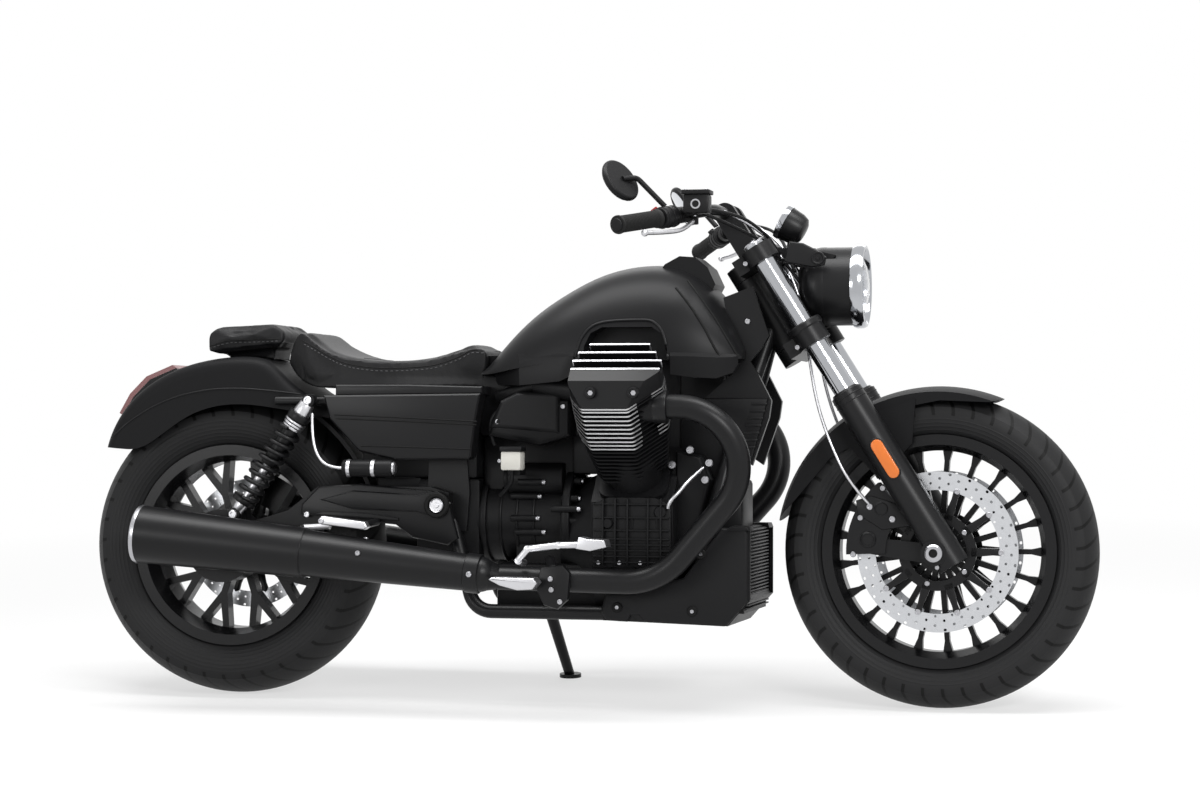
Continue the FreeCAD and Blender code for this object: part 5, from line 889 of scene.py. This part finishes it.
def makeDial(look):
    bm = bmesh.new()
    place = toward(look["face"], look["way"])
    stamp(bm, spunPart(look["cup"], 64), place, 0)
    stamp(bm, spunPart(look["bezel"], 64, True), place, 1)
    stamp(bm, spunPart(look["plate"], 64), place, 2)
    for i in range(look["marks"]):
        turn = Matrix.Rotation(math.radians(look["first"] - look["sweep"] * i / (look["marks"] - 1)), 4, "Z")
        long = 5 if i % 5 == 0 else 2.5
        stamp(bm, boxPart((look["reach"] - long, -0.35, 0.4), (look["reach"], 0.35, 0.9)), place @ turn, 3)
    stamp(bm, boxPart((-6, -0.7, 1.2), (23, 0.7, 1.8)), place @ Matrix.Rotation(math.radians(look["first"]), 4, "Z"), 4)
    stamp(bm, spunPart(look["cap"], 24), place, 0)
    back = Vector(look["face"]) - Vector(look["way"]).normalized() * 28
    stamp(bm, rodPart(back, look["foot"], 13, 10, rim=1.5), index=0)
    makePiece("dial", bm, bike, ["satinBlack", "chrome", "dialFace", "milkPlastic", "redPlastic"], "steering",
              ("instrument",), 34)


makeDial(dialLook)

# mirrors' glass, set into the round heads
mirrorLook = {"foot": 173, "lift": 24, "reach": 45, "height": 96, "turn": 24, "thick": 14,
              "glass": [(0, 1.4), (38, 1.2), (40.5, 0), (0, 0)], "edge": (41.5, 1.4)}


def makeMirrorGlass(look):
    bm = bmesh.new()
    base = alongGrip(look["foot"], 1) + Vector((0, 0, look["lift"]))
    elbow = base + Vector((-look["reach"] / 3, look["reach"] / 2, look["height"] * 0.8))
    centre = elbow + Vector((-look["reach"] / 2, look["reach"] * 0.6, look["height"] * 0.1))
    turn = math.radians(look["turn"])
    way = Vector((-math.cos(turn), -math.sin(turn), 0))
    face = centre + way * (look["thick"] + 0.2)
    for side in (-1, 1):
        place = toward(sided(face, side), sided(way, side))
        stamp(bm, spunPart(look["glass"], 56), place, 0)
        stamp(bm, ringPart(*look["edge"], 56, 8), place, 1)
    makePiece("mirrorGlass", bm, fork, ["mirrorGlass", "darkPlastic"], "steering")


makeMirrorGlass(mirrorLook)
print("bars and lamps ready")

# tank trim: grooves by the front edge, the lip over the head and the darker band under the crease
tankLook = {"grooves": [[(688, 281), (702, 300), (716, 320), (728, 340), (738, 357)],
                        [(676, 288), (690, 306), (703, 326), (713, 345), (720, 357)]], "grooveRadius": 0.0026,
            "lip": [(575, 357), (583, 336), (600, 323), (640, 320), (655, 323), (664, 336), (668, 357)],
            "lipRadius": 0.0032, "proud": 1.5,
            "bands": [[(570, 730, 700), (600, 730, 668), (660, 732, 666), (752, 732, 674), (784, 733, 688)],
                      [(988, 733, 688), (1030, 733, 682), (1080, 731, 680), (1112, 730, 692), (1122, 730, 712)]],
            "steps": [(0.06, 0.16), (-0.02, 1.0), (-0.55, 1.0)], "share": 0.35}
tankSkin = skinOf(nodes["fuel_tank"])
# the tank's grooves are near-black lines: painted shade in the grooves
makeLines("tankGrooves", bothSides([onPhoto(tankSkin, run) for run in tankLook["grooves"]]), tankLook["grooveRadius"],
          "paintedGapShade", "chassis")
makeLines("tankLip", bothSides([onPhoto(tankSkin, tankLook["lip"])]), tankLook["lipRadius"], "satinBlack", "chassis")


def makeTankBand(look):
    # each station is a place along the machine with the band's upper and lower height
    bm = bmesh.new()
    for side in (-1, 1):
        way = rightWay if side < 0 else leftWay
        for stations in look["bands"]:
            part = bmesh.new()
            line = []
            for x, high, low in stations:
                hit = drop(tankSkin, (x, side * 40, high), way)
                y = (bike.inverted() @ hit).y if hit else side * 60
                line.append(Vector((x, y + side * look["proud"], high)))
            verts = [part.verts.new(point) for point in line]
            edges = [part.edges.new(pair) for pair in zip(verts, verts[1:])]
            for share, depth in look["steps"]:
                made = bmesh.ops.extrude_edge_only(part, edges=edges)["geom"]
                edges = [item for item in made if isinstance(item, bmesh.types.BMEdge)
                         and all(vertex not in verts for vertex in item.verts)]
                verts = sorted({vertex for edge in edges for vertex in edge.verts}, key=lambda vertex: vertex.co.x)
                for vertex, top, (x, high, low) in zip(verts, line, stations):
                    vertex.co = Vector((x, top.y * (1 + share * look["share"]), high + (low - high) * depth))
            stamp(bm, part)
    makePiece("tankBand", bm, bike, ["tankBlack"], "chassis", crease=24)


makeTankBand(tankLook)

# inner black parts seen between the covers; rows as the stamp helpers take them, y for the left side
bayLook = {"blocks": [((300, -96, 470), (556, 96, 662), 8, 0), ((556, -84, 560), (800, 84, 690), 8, 0),
                     ((560, -60, 400), (760, 60, 560), 8, 0), ((990, -56, 560), (1090, 56, 690), 8, 0),
                     ((800, -50, 520), (1000, 50, 745), 6, 0), ((420, -88, 300), (560, 88, 470), 8, 0),
                     ((600, -104, 190), (880, 104, 292), 10, 0), ((985, -62, 430), (1085, 62, 704), 10, 0),
                     ((756, -70, 480), (830, 70, 604), 8, 0), ((332, -88, 440), (430, 88, 480), 6, 0),
                     ((1040, -70, 300), (1120, 70, 470), 10, 0)],
           "tray": ([(420, 640), (300, 640), (262, 600), (330, 540), (352, 470), (420, 470)], -92, 92, 6, 2, 0),
           "guard": (338, 347), "guardTurns": [12 + 6 * i for i in range(10)], "guardHalf": 98,
           "rods": [((620, 60, 470), (740, 60, 470), 34, 4, 0), ((610, 62, 470), (620, 62, 470), 26, 2, 0),
                    ((600, 92, 640), (690, 118, 668), 15, 2, 0), ((690, 118, 668), (812, 150, 650), 22, 3, 0)],
           "plates": [([(588, 560), (604, 612), (660, 636), (768, 640), (768, 560), (700, 540)], 84, 140, 14, 3, 0),
                      # the two thin strips on the plate are near-black sheets: painted shade of two slots
                      ([(650, 596), (684, 600), (688, 608), (652, 604)], 139.6, 141, 0, 2, 1),
                      ([(690, 596), (724, 600), (728, 608), (692, 604)], 139.6, 141, 0, 2, 1)],
           "bolts": [((612, 140, 590), 6, 4, 2), ((752, 140, 622), 5, 3, 2)]}


def makeBay(look):
    bm = bmesh.new()
    stampBoxes(bm, look["blocks"])
    # the inner mudguard follows the rear wheel
    low, high = look["guard"]
    turns = [math.radians(turn) for turn in look["guardTurns"]]
    arc = [(low * math.cos(t), stanceLook["rearRadius"] + low * math.sin(t)) for t in turns]
    arc += [(high * math.cos(t), stanceLook["rearRadius"] + high * math.sin(t)) for t in reversed(turns)]
    stampPlates(bm, [look["tray"], (arc, -look["guardHalf"], look["guardHalf"], 2, 2, 0)])
    stampSides(bm, look)
    makePiece("engineBay", bm, bike, ["engineBlack", "paintedGapShade", "steel"], "chassis", crease=30)


makeBay(bayLook)

# side panels with the long step under the seat
panelLook = {"plates": [([(236, 646), (582, 650), (572, 600), (561, 516), (556, 510), (396, 508), (316, 526),
                          (250, 594)], 126, 171, 9, 3, 0),
                        ([(262, 644), (584, 648), (584, 664), (420, 668), (262, 668)], 90, 166, 6, 3, 0)],
             "grooves": [(262, 604, 574, 590), (266, 596, 573, 583), (322, 538, 560, 532)], "grooveSide": 171.3,
             "bow": 1, "grooveRadius": 0.0016}


def makePanels(look):
    dressedPiece("sidePanelSkins", look, ["satinBlack"], ("side_panels",), 24)
    y = look["grooveSide"]
    paths = [[(x0, y, z0), ((x0 + x1) / 2, y, (z0 + z1) / 2 + look["bow"]), (x1, y, z1)]
             for x0, z0, x1, z1 in look["grooves"]]
    # the panel grooves are near-black lines: painted shade in the grooves
    makeLines("sidePanelGrooves", pairedRuns(bike, paths), look["grooveRadius"], "paintedGapShade", "chassis")


makePanels(panelLook)

armLook = {"plates": [([(182, 392), (184, 414), (222, 452), (315, 458), (470, 444), (508, 418), (528, 344), (505, 330),
                        (430, 345), (392, 372)], 138, 152, 6, 3, 0),
                      ([(226, 424), (300, 444), (440, 436), (486, 444), (516, 418), (488, 386), (440, 400),
                        (300, 404)], 152, 159, 4, 3, 0),
                      ([(214, 392), (236, 400), (330, 396), (400, 386), (400, 380), (330, 384)], 152, 156, 2, 2, 0),
                      ([(200, 372), (262, 376), (258, 362), (204, 358)], 176, 190, 3, 2, 2)],
           # the first ring is near-black: painted shade in the hollow round the pivot's cap
           "spuns": [([(27, 0), (27, 6), (24, 9), (19, 9), (17, 5), (17, 0)], 48, True, (485, 158, 414), 1),
                     ([(0, 9), (5, 9), (6, 6), (12, 6), (14.5, 8), (16, 6), (16, 0), (0, 0)], 48, False,
                      (485, 158, 414), 2)],
           "bolts": [((196, 150, 392), 6, 4, 2)]}

dressedPiece("swingArmCovers", armLook, ["satinBlack", "paintedGapShade", "aluminium"], crease=24)
print("side covers ready")

# engine dressing: ribs and bosses on the case, the clutch bell and the gearbox's ring with its screws
# a screw is the photograph's two pixels along, one down, and its distance from the middle
engineLook = {"boxes": [((824, 172, z - 1.6), (986, 179, z + 1.6), 0.8, 0)
                        for z in (420, 392, 366, 348, 336, 324, 312, 300)]
                       + [((x - 1.8, 172, 294), (x + 1.8, 181, 432), 0.8, 0) for x in (846, 872, 898, 941, 968)],
              "plates": [([(822, 420), (860, 436), (950, 436), (988, 420), (988, 292), (822, 288)], 120, 172, 4, 2, 0),
                         ([(986, 530), (1040, 520), (1060, 470), (1044, 400), (1030, 300), (986, 290)], 70, 118, 10, 3,
                          0)],
              "spuns": [([(0, 6), (11, 6), (13, 4), (13, 0), (0, 0)], 32, False, (966, 172, 404), 0),
                        ([(0, 6), (9, 6), (11, 4), (11, 0), (0, 0)], 32, False, (855, 172, 380), 0)],
              "bolts": [((x, 173, 299), 4.6, 4, 1) for x in (836, 880, 924, 972)],
              "coverBolts": [(690, 450), (672, 465), (709, 463), (705, 480)], "coverDepth": -119, "coverSide": 118,
              "cup": [(0, 3), (4, 3), (4.5, 5), (7, 5), (8.5, 3), (8.5, 0), (0, 0)],
              "screws": [(518, 542, 482, 96), (511, 538, 496, 78), (551, 577, 509, 117), (511, 536, 518, 90),
                         (515, 542, 532, 88)],
              "shaft": 383, "drums": [(560, 574, 96, 4), (742, 760, 118, 5)], "rings": (604, 640, 676),
              "ringSize": (89, 3, 48, 8), "boltTurns": [math.radians(26 * i) for i in range(-3, 4)], "boltReach": 104}


def makeEngine(look):
    bm = bmesh.new()
    shaft, reach = look["shaft"], look["boltReach"]
    cups, rods = [], []
    for px, py in look["coverBolts"]:
        spot = pixelPoint(px, py, look["coverDepth"])
        cups.append((look["cup"], 24, False, (spot.x, look["coverSide"], spot.z), 1))
    for px0, px1, py, depth in look["screws"]:
        near, far = pixelPoint(px0, py, -depth), pixelPoint(px1, py, -depth)
        start, end, tip = ((x, depth, near.z) for x in (near.x, far.x, far.x + 8))
        rods += [(start, end, 7, 1.5, 0), (end, tip, 5.5, 1, 1)]
    for turn in look["boltTurns"]:
        y, z = reach * math.cos(turn), shaft + reach * math.sin(turn)
        rods += [((740, y, z), (775, y, z), 8, 1.5, 0), ((775, y, z), (780, y, z), 5, 1, 1)]
    stampSides(bm, look)
    stampSides(bm, {"spuns": cups, "rods": rods})
    for start, end, radius, rim in look["drums"]:
        stamp(bm, rodPart((start, 0, shaft), (end, 0, shaft), radius, rim=rim, segments=48), index=0)
    for x in look["rings"]:
        stamp(bm, ringPart(*look["ringSize"]), toward((x, 0, shaft), (1, 0, 0)), 0)
    makePiece("engineDressing", bm, bike, ["engineBlack", "steel"], "chassis", crease=30)


makeEngine(engineLook)

# head bolts, the bright edges of the upper fins and the exhaust port's flange, in the cylinder's own axes
headLook = {"axis": (905, 0, 350), "turn": -45, "boltX": 44, "boltSide": 50, "boltHigh": 470, "boltWay": (0, 0.72, 0.7),
            "cup": [(0, 2), (6, 2), (7, 8), (10, 8), (11.5, 5), (11.5, -3), (0, -3)],
            "hexagon": [(0, 4), (5.5, 4), (5.5, 0), (0, 0)],
            "fins": [(-4.7, -91, 91), (-28.7, -91, 91), (-52.7, -83, 77), (-76.7, -63, 61)], "finHalf": 2.4,
            "port": ((70, 12, 394), (99, 12, 394), 33.5)}


def makeHeadBolts(look):
    bm = bmesh.new()
    for side in (-1, 1):
        place = Matrix.Translation(look["axis"]) @ Matrix.Rotation(math.radians(look["turn"] * side), 4, "X")
        for x in (-look["boltX"], look["boltX"]):
            spot = toward((x, side * look["boltSide"], look["boltHigh"]), sided(look["boltWay"], side))
            stamp(bm, spunPart(look["cup"], 32), place @ spot, 0)
            stamp(bm, spunPart(look["hexagon"], 6), place @ spot, 1)
        for y, start, finish in look["fins"]:
            low, high = side * y - look["finHalf"], side * y + look["finHalf"]
            for x0, z0, x1, z1 in ((start, 483, finish, 485.4), (finish - 1.6, 466, finish + 0.8, 485),
                                   (start - 0.8, 472, start + 1.6, 485)):
                stamp(bm, boxPart((x0, low, z0), (x1, high, z1), 0.5), place, 2)
        near, far, radius = look["port"]
        stamp(bm, rodPart(sided(near, side), sided(far, side), radius, rim=3, segments=40), place, 0)
    makePiece("headBolts", bm, bike, ["satinBlack", "steel", "aluminium"], "chassis", crease=30)


makeHeadBolts(headLook)

# the oil pipe's corners are a photograph pixel and its distance from the middle
pipeLook = {"corners": [(668, 508, -184), (669, 502, -190), (679, 492, -186), (691, 478, -160), (703, 468, -128)],
            "radius": 0.0042}
pipeRun = [sided(pixelPoint(*corner), -1) for corner in pipeLook["corners"]]
makeLines("oilPipes", pairedRuns(bike, [pipeRun]), pipeLook["radius"], "aluminium", "chassis")

# exhaust clamps, end rings and inner pipes
exhaustLook = {"front": (600, 275), "joint": (223, 314), "rear": (-144, 350), "side": 243,
               "clamp": [(38, -4), (41, -2), (41, 26), (38, 28)], "clampBolt": (12, 41),
               "jointRing": (48.6, 1.6, 64, 8),
               "end": [(61.4, -6), (61.8, 0), (60.5, 3), (56, 3), (54, -4), (54, -40)],
               "inner": [(0, -60), (54, -60), (54, -40), (50, -40), (50, -58)], "shieldBolts": (20, 110),
               "shieldBack": 128, "shieldReach": 45}


def makeExhaustTrim(look):
    bm = bmesh.new()
    for side in (-1, 1):
        near, middle, end = (Vector((x, side * look["side"], z))
                             for x, z in (look["front"], look["joint"], look["rear"]))
        fore, aft = (middle - near).normalized(), (end - middle).normalized()
        along, out = look["clampBolt"]
        stamp(bm, spunPart(look["clamp"], 56), toward(near, fore), 0)
        stamp(bm, boltPart(6, 5), toward(near + fore * along + Vector((0, side * out, 0)), (0, side, 0)), 1)
        stamp(bm, ringPart(*look["jointRing"]), toward(middle, aft), 0)
        stamp(bm, spunPart(look["end"]), toward(end, aft), 2)
        # the inner pipe is near-black: painted shade inside the muffler's end
        stamp(bm, spunPart(look["inner"]), toward(end, aft), 3)
        for angle in look["shieldBolts"]:
            turn = math.radians(angle)
            way = Vector((0, side * math.cos(turn), math.sin(turn)))
            stamp(bm, boltPart(5.5, 4), toward(middle - fore * look["shieldBack"] + way * look["shieldReach"], way), 1)
    makePiece("exhaustTrim", bm, bike, ["satinBlack", "steel", "steel", "paintedGapShade"], "chassis", crease=30)


makeExhaustTrim(exhaustLook)

# pegs, levers and their bracket plates
pegLook = {"plates": [([(640, 268), (646, 273), (735, 272), (742, 262), (732, 249), (700, 247), (664, 256)], 286, 330,
                       5, 3, 0),
                      ([(735, 292), (782, 296), (796, 280), (792, 226), (770, 206), (742, 214), (726, 246)], 252, 268,
                       4, 2, 1),
                      ([(820, 332), (826, 356), (846, 352), (880, 350), (884, 336), (850, 328)], 274, 322, 3, 3, 0),
                      ([(256, 386), (262, 392), (356, 380), (362, 370), (354, 364), (262, 374)], 232, 258, 4, 3, 0)],
           "bolts": [((756, 268, 268), 5.5, 4, 2), ((758, 268, 246), 5.5, 4, 2), ((776, 268, 222), 5.5, 4, 2),
                     ((262, 257, 382), 6, 4, 2)],
           "boxes": [((x, 278, 344), (x + 3, 318, 349), 0.6, 1) for x in range(834, 876, 7)],
           "rods": [((696, 252, 300), (696, 300, 306), 8, 1, 0), ((720, 120, 300), (760, 262, 285), 11, 1, 1),
                    ((690, 262, 262), (690, 300, 262), 9, 1, 1), ((352, 150, 378), (352, 234, 374), 8, 1, 1)],
           "lever": [(695, 300, 306), (716, 300, 330), (780, 300, 338), (838, 300, 340)]}
for start, end in zip(pegLook["lever"], pegLook["lever"][1:]):
    x, y, z = end
    pegLook["rods"] += [(start, end, 7, 1.5, 0), ((x, y - 6, z), (x, y + 6, z), 7.5, 1, 0)]
dressedPiece("pegSet", pegLook, ["aluminium", "satinBlack", "steel"], ("footpegs",))

# brake fluid's reservoir on the right, the shocks' canisters and their hoses
cupLook = {"cup": [((634, -206, 489), (677, -166, 528), 4, 0), ((632, -208, 528), (679, -164, 538), 2, 1),
                   ((640, -170, 478), (668, -120, 500), 3, 2)], "bolt": [((628, 190, 508), 4, 3, 3)],
           "canister": ((282, 170, 491), (392, 170, 491), 18), "bracket": [((320, 96, 484), (336, 170, 498), 2, 2)],
           "band": [(18.4, 0), (19, 1), (19, 7), (18.4, 8)], "bands": (292, 346),
           "cap": [(0, 6), (10, 6), (14, 3), (14, 0), (0, 0)],
           "shockHose": [(282, 170, 491), (250, 178, 492), (226, 182, 520), (216, 180, 566), (214, 172, 606)],
           "bayHoses": [[(652, -186, 488), (656, -184, 470), (640, -170, 450), (620, -150, 436)],
                        [(600, -120, 540), (586, -130, 580), (610, -126, 620), (660, -110, 640)]]}


def makeSmallParts(look):
    bm = bmesh.new()
    stampBoxes(bm, look["cup"])
    stampBolts(bm, look["bolt"], -1)
    for side in (-1, 1):
        near, far, radius = look["canister"]
        near, far = sided(near, side), sided(far, side)
        stamp(bm, rodPart(near, far, radius, rim=4, segments=32), index=1)
        for x in look["bands"]:
            stamp(bm, spunPart(look["band"], 40), toward((x, *near[1:]), (1, 0, 0)), 4)
        stamp(bm, spunPart(look["cap"], 32), toward(far, (1, 0, 0)), 4)
        stampBoxes(bm, look["bracket"], side)
    makePiece("reservoirs", bm, bike, ["milkPlastic", "darkPlastic", "engineBlack", "steel", "aluminium"], "chassis",
              crease=30)
    makeLines("shockHoses", pairedRuns(bike, [look["shockHose"]]), 0.0034, "aluminium", "chassis")
    makeLines("bayHoses", [[bike @ Vector(point) for point in run] for run in look["bayHoses"]], 0.0045, "darkPlastic",
              "chassis")


makeSmallParts(cupLook)
print("engine and pegs ready")

# lower front cover's side plates, cooler core and lip
screwCup = [(0, 3), (4, 3), (5, 6), (9, 6), (11, 3), (11, 0), (0, 0)]
screwSpots = [(1048, 318), (872, 206), (1030, 200)]
coverLook = {"plates": [([(836, 196), (846, 234), (905, 236), (1010, 268), (1090, 372), (1140, 372), (1146, 362),
                          (1146, 222), (1102, 172), (930, 176), (918, 190), (900, 190), (892, 176), (848, 178)],
                         140, 156, 7, 3, 0),
                        ([(1096, 366), (1110, 376), (1146, 376), (1150, 366)], 100, 158, 4, 2, 0)],
             # the cups round the screws are near-black: painted shade in the wells round the screws
             "spuns": [(screwCup, 28, False, (x, 155, z), 1) for x, z in screwSpots],
             "bolts": [((x, 156, z), 4.5, 5, 2) for x, z in screwSpots],
             "floor": ([(840, 178), (1102, 170), (1148, 222), (1140, 236), (1096, 190), (842, 196)], -146, 146, 3, 2,
                       0),
             "core": [((1134, -134, 204 + i * 7), (1143, 134, 207 + i * 7), 0.6, 3) for i in range(24)]
                     + [((1118, -138, 200), (1136, 138, 372), 3, 1)]}


def makeLowerCover(look):
    bm = bmesh.new()
    stampSides(bm, look)
    stampPlates(bm, [look["floor"]])
    stampBoxes(bm, look["core"])
    makePiece("coverPlates", bm, bike, ["darkPlastic", "paintedGapShade", "steel", "silverMesh"], "chassis", crease=26)


makeLowerCover(coverLook)

# plates with short fins beside the head of the frame
neckLook = {"plates": [([(1040, 640), (1176, 640), (1142, 512), (1120, 520), (1060, 590)], 76, 84, 4, 2, 0)],
            "boxes": [((1118 + i * 4, 82, 536 + i * 15), (1150 + i * 4, 88, 541 + i * 15), 1, 0) for i in range(7)],
            "bolts": [((1132, 79, 800), 6, 4, 1), ((1128, 79, 604), 6, 4, 1)]}

dressedPiece("neckTrim", neckLook, ["satinBlack", "steel"], crease=26)

# fork: reflectors, axle nuts, gaiters, clamp bolts, brake hoses and cables, in the fork's own axes
forkLook = {"leg": (18, 112), "reflector": (146, 214), "lens": (88, 25), "holder": (96, 31),
            "spuns": [([(0, 10), (8, 10), (9, 14), (15, 14), (18, 11), (18, 0), (0, 0)], 40, False, (0, 145, 0), 2),
                      # the small disc in the axle nut is near-black: painted shade in the axle's hollow end
                      ([(0, 11), (8, 11), (8, 6), (0, 6)], 24, False, (0, 146, 0), 3)],
            "rings": (352, 364), "ringSize": (34.2, 1.1, 48, 8),
            "collars": [([(23.2, 0), (28, 0), (31, -5), (34, -6), (23.2, -6)], 48, True, 379, 1),
                        ([(23.2, 0), (36, 0), (38, 3), (38, 12), (36, 15), (23.2, 15)], 48, True, 526, 1),
                        ([(0, 8), (9, 8), (10, 6), (20, 6), (23, 3), (23, 0), (0, 0)], 40, False, 734, 2)],
            "plates": [([(-10, 70), (-70, 96), (-96, 150), (-84, 176), (-52, 168), (-10, 120)], 86, 100, 4, 2, 1)],
            "bolts": [((-16, 128, 504), 5.5, 6, 2), ((-16, 128, 708), 5.5, 6, 2), ((30, 136, -24), 5, 5, 2),
                      ((-10, 136, -28), 5, 5, 2), ((-40, 100, 104), 7, 5, 2), ((-66, 100, 150), 7, 5, 2)],
            "hose": [(-64, 96, 152), (-74, 124, 214), (-64, 122, 300), (-48, 100, 384), (-16, 78, 470), (24, 66, 560),
                     (48, 62, 650), (48, 60, 760), (0, 130, 830)], "hoseRadius": 0.0034,
            "cables": [[(-26, 250, 842), (30, 200, 800), (52, 120, 742), (48, 60, 700), (46, 36, 660)],
                       [(-30, 262, 838), (10, 180, 782), (44, 90, 716), (54, 44, 610), (50, 24, 540)]],
            "cableRadius": 0.0036}


def pillOutline(length, width, steps=8):
    ends = []
    for middle, start in ((length / 2 - width / 2, -90), (width / 2 - length / 2, 90)):
        for i in range(steps + 1):
            turn = math.radians(start + 180 * i / steps)
            ends.append((width / 2 * math.cos(turn) + middle, width / 2 * math.sin(turn)))
    return ends


def makeFork(look):
    bm = bmesh.new()
    x, y = look["leg"]
    out, high = look["reflector"]
    for side in (-1, 1):
        turn = Matrix.Translation((x, side * out, high)) @ Matrix.Rotation(math.radians(90), 4, "Y")
        if side < 0:
            turn = turn @ Matrix.Scale(-1, 4, (0, 1, 0))
        stamp(bm, platePart(pillOutline(*look["holder"]), -10, 1, 2, 3), turn, 1)
        stamp(bm, platePart(pillOutline(*look["lens"]), 0, 6, 2, 3), turn, 0)
        for z in look["rings"]:
            stamp(bm, ringPart(*look["ringSize"]), toward((x, side * y, z), (0, 0, 1)), 1)
        for profile, steps, closed, z, index in look["collars"]:
            stamp(bm, spunPart(profile, steps, closed), toward((x, side * y, z), (0, 0, 1)), index)
    stampSides(bm, look)
    makePiece("forkTrim", bm, fork, ["amberLens", "satinBlack", "steel", "paintedGapShade"], "steering", crease=30)
    makeLines("brakeHoses", pairedRuns(fork, [look["hose"]]), look["hoseRadius"], "aluminium", "steering")
    makeLines("barCables", pairedRuns(fork, look["cables"]), look["cableRadius"], "darkPlastic", "steering")


makeFork(forkLook)

# ears that carry the headlamp, with their round bolts; outline and bolt are photograph pixels
earLook = {"outline": [(789, 241), (803, 243), (817, 250), (826, 257), (824, 265), (812, 267), (794, 264), (783, 262)],
           "bolt": (818, 258), "low": 84, "high": 95,
           "cup": [(0, 5), (4, 5), (5, 2.5), (9, 2.5), (11, 4), (13, 4), (14, 2), (14, 0), (0, 0)]}


def makeLampEars(look):
    bm = bmesh.new()
    low, high = look["low"], look["high"]
    corners = [pixelPoint(px, py, -high) for px, py in look["outline"]]
    spot = pixelPoint(*look["bolt"], -high)
    x, z = corners[0].x, corners[0].z
    for side in (-1, 1):
        stampPlates(bm, [([(p.x, p.z) for p in corners], low, high, 4, 3, 0)], side)
        stampSpun(bm, [(look["cup"], 32, False, (spot.x, high, spot.z), 0)], side)
        stampRods(bm, [((x, 60, z - 16), (x + 6, 92, z - 18), 11, 2, 0)], side)
    makePiece("lampEars", bm, bike, ["satinBlack"], "steering", crease=30)


makeLampEars(earLook)

# calipers dressed with the pistons' covers and pins
caliperLook = {"angle": 156, "side": 96, "cap": [(0, 5), (13, 5), (16, 3), (17, 0), (0, 0)], "capRing": (12, 1, 40, 6),
               "caps": (142, (-14, 14)), "pins": (170, (-26, 0, 26))}


def makeCalipers(look):
    bm = bmesh.new()
    for side in (-1, 1):
        for name in ("caps", "pins"):
            reach, shifts = look[name]
            for shift in shifts:
                turn = math.radians(look["angle"] + shift)
                spot = Vector((reach * math.cos(turn), side * look["side"], reach * math.sin(turn)))
                if name == "pins":
                    stamp(bm, boltPart(6, 5), toward(spot, (0, side, 0)), 1)
                else:
                    stamp(bm, spunPart(look["cap"], 40), toward(spot, (0, side, 0)), 0)
                    stamp(bm, ringPart(*look["capRing"]), toward(spot + Vector((0, side * 5, 0)), (0, side, 0)), 0)
    makePiece("caliperTrim", bm, frontHub, ["satinBlack", "steel"], "steering", crease=30)


makeCalipers(caliperLook)

# tail lamp with its clear lower edge and its holder
tailLook = {"points": [(-254, 600), (-230, 642), (-192, 680), (-132, 705)], "half": 56,
            "strip": [(-256, 598), (-246, 598), (-222, 630), (-232, 636)]}


def makeTailLamp(look):
    bm = bmesh.new()
    points, half = look["points"], look["half"]
    lens = points + [(x - 12, z + 8) for x, z in reversed(points)]
    holder = [(x + 6, z - 6) for x, z in points] + [(x - 2, z + 1) for x, z in reversed(points)]
    stampPlates(bm, [(lens, -half, half, 5, 3, 0), (look["strip"], 6 - half, half - 6, 2, 2, 1),
                     (holder, -half - 5, half + 5, 2, 2, 2)])
    makePiece("tailLamp", bm, bike, ["redLens", "whiteLens", "darkPlastic"], "chassis", ("tail_lamp",), 40)


makeTailLamp(tailLook)

# the rear fender's flared crease
creaseLook = {"run": [(-250, 560), (-214, 590), (-160, 622), (-100, 645), (-30, 658), (40, 660), (110, 655),
                      (170, 648)], "side": 60, "radius": 0.0018}
fenderSkin = skinOf(nodes["rear_fender"])
makeLines("fenderCreases", [drape(fenderSkin, [(x, side * creaseLook["side"], z) for x, z in creaseLook["run"]], side)
                            for side in (-1, 1)], creaseLook["radius"], "satinBlack", "chassis")
print("scene pieces ready")

bpy.context.scene.view_settings.view_transform = "Standard"
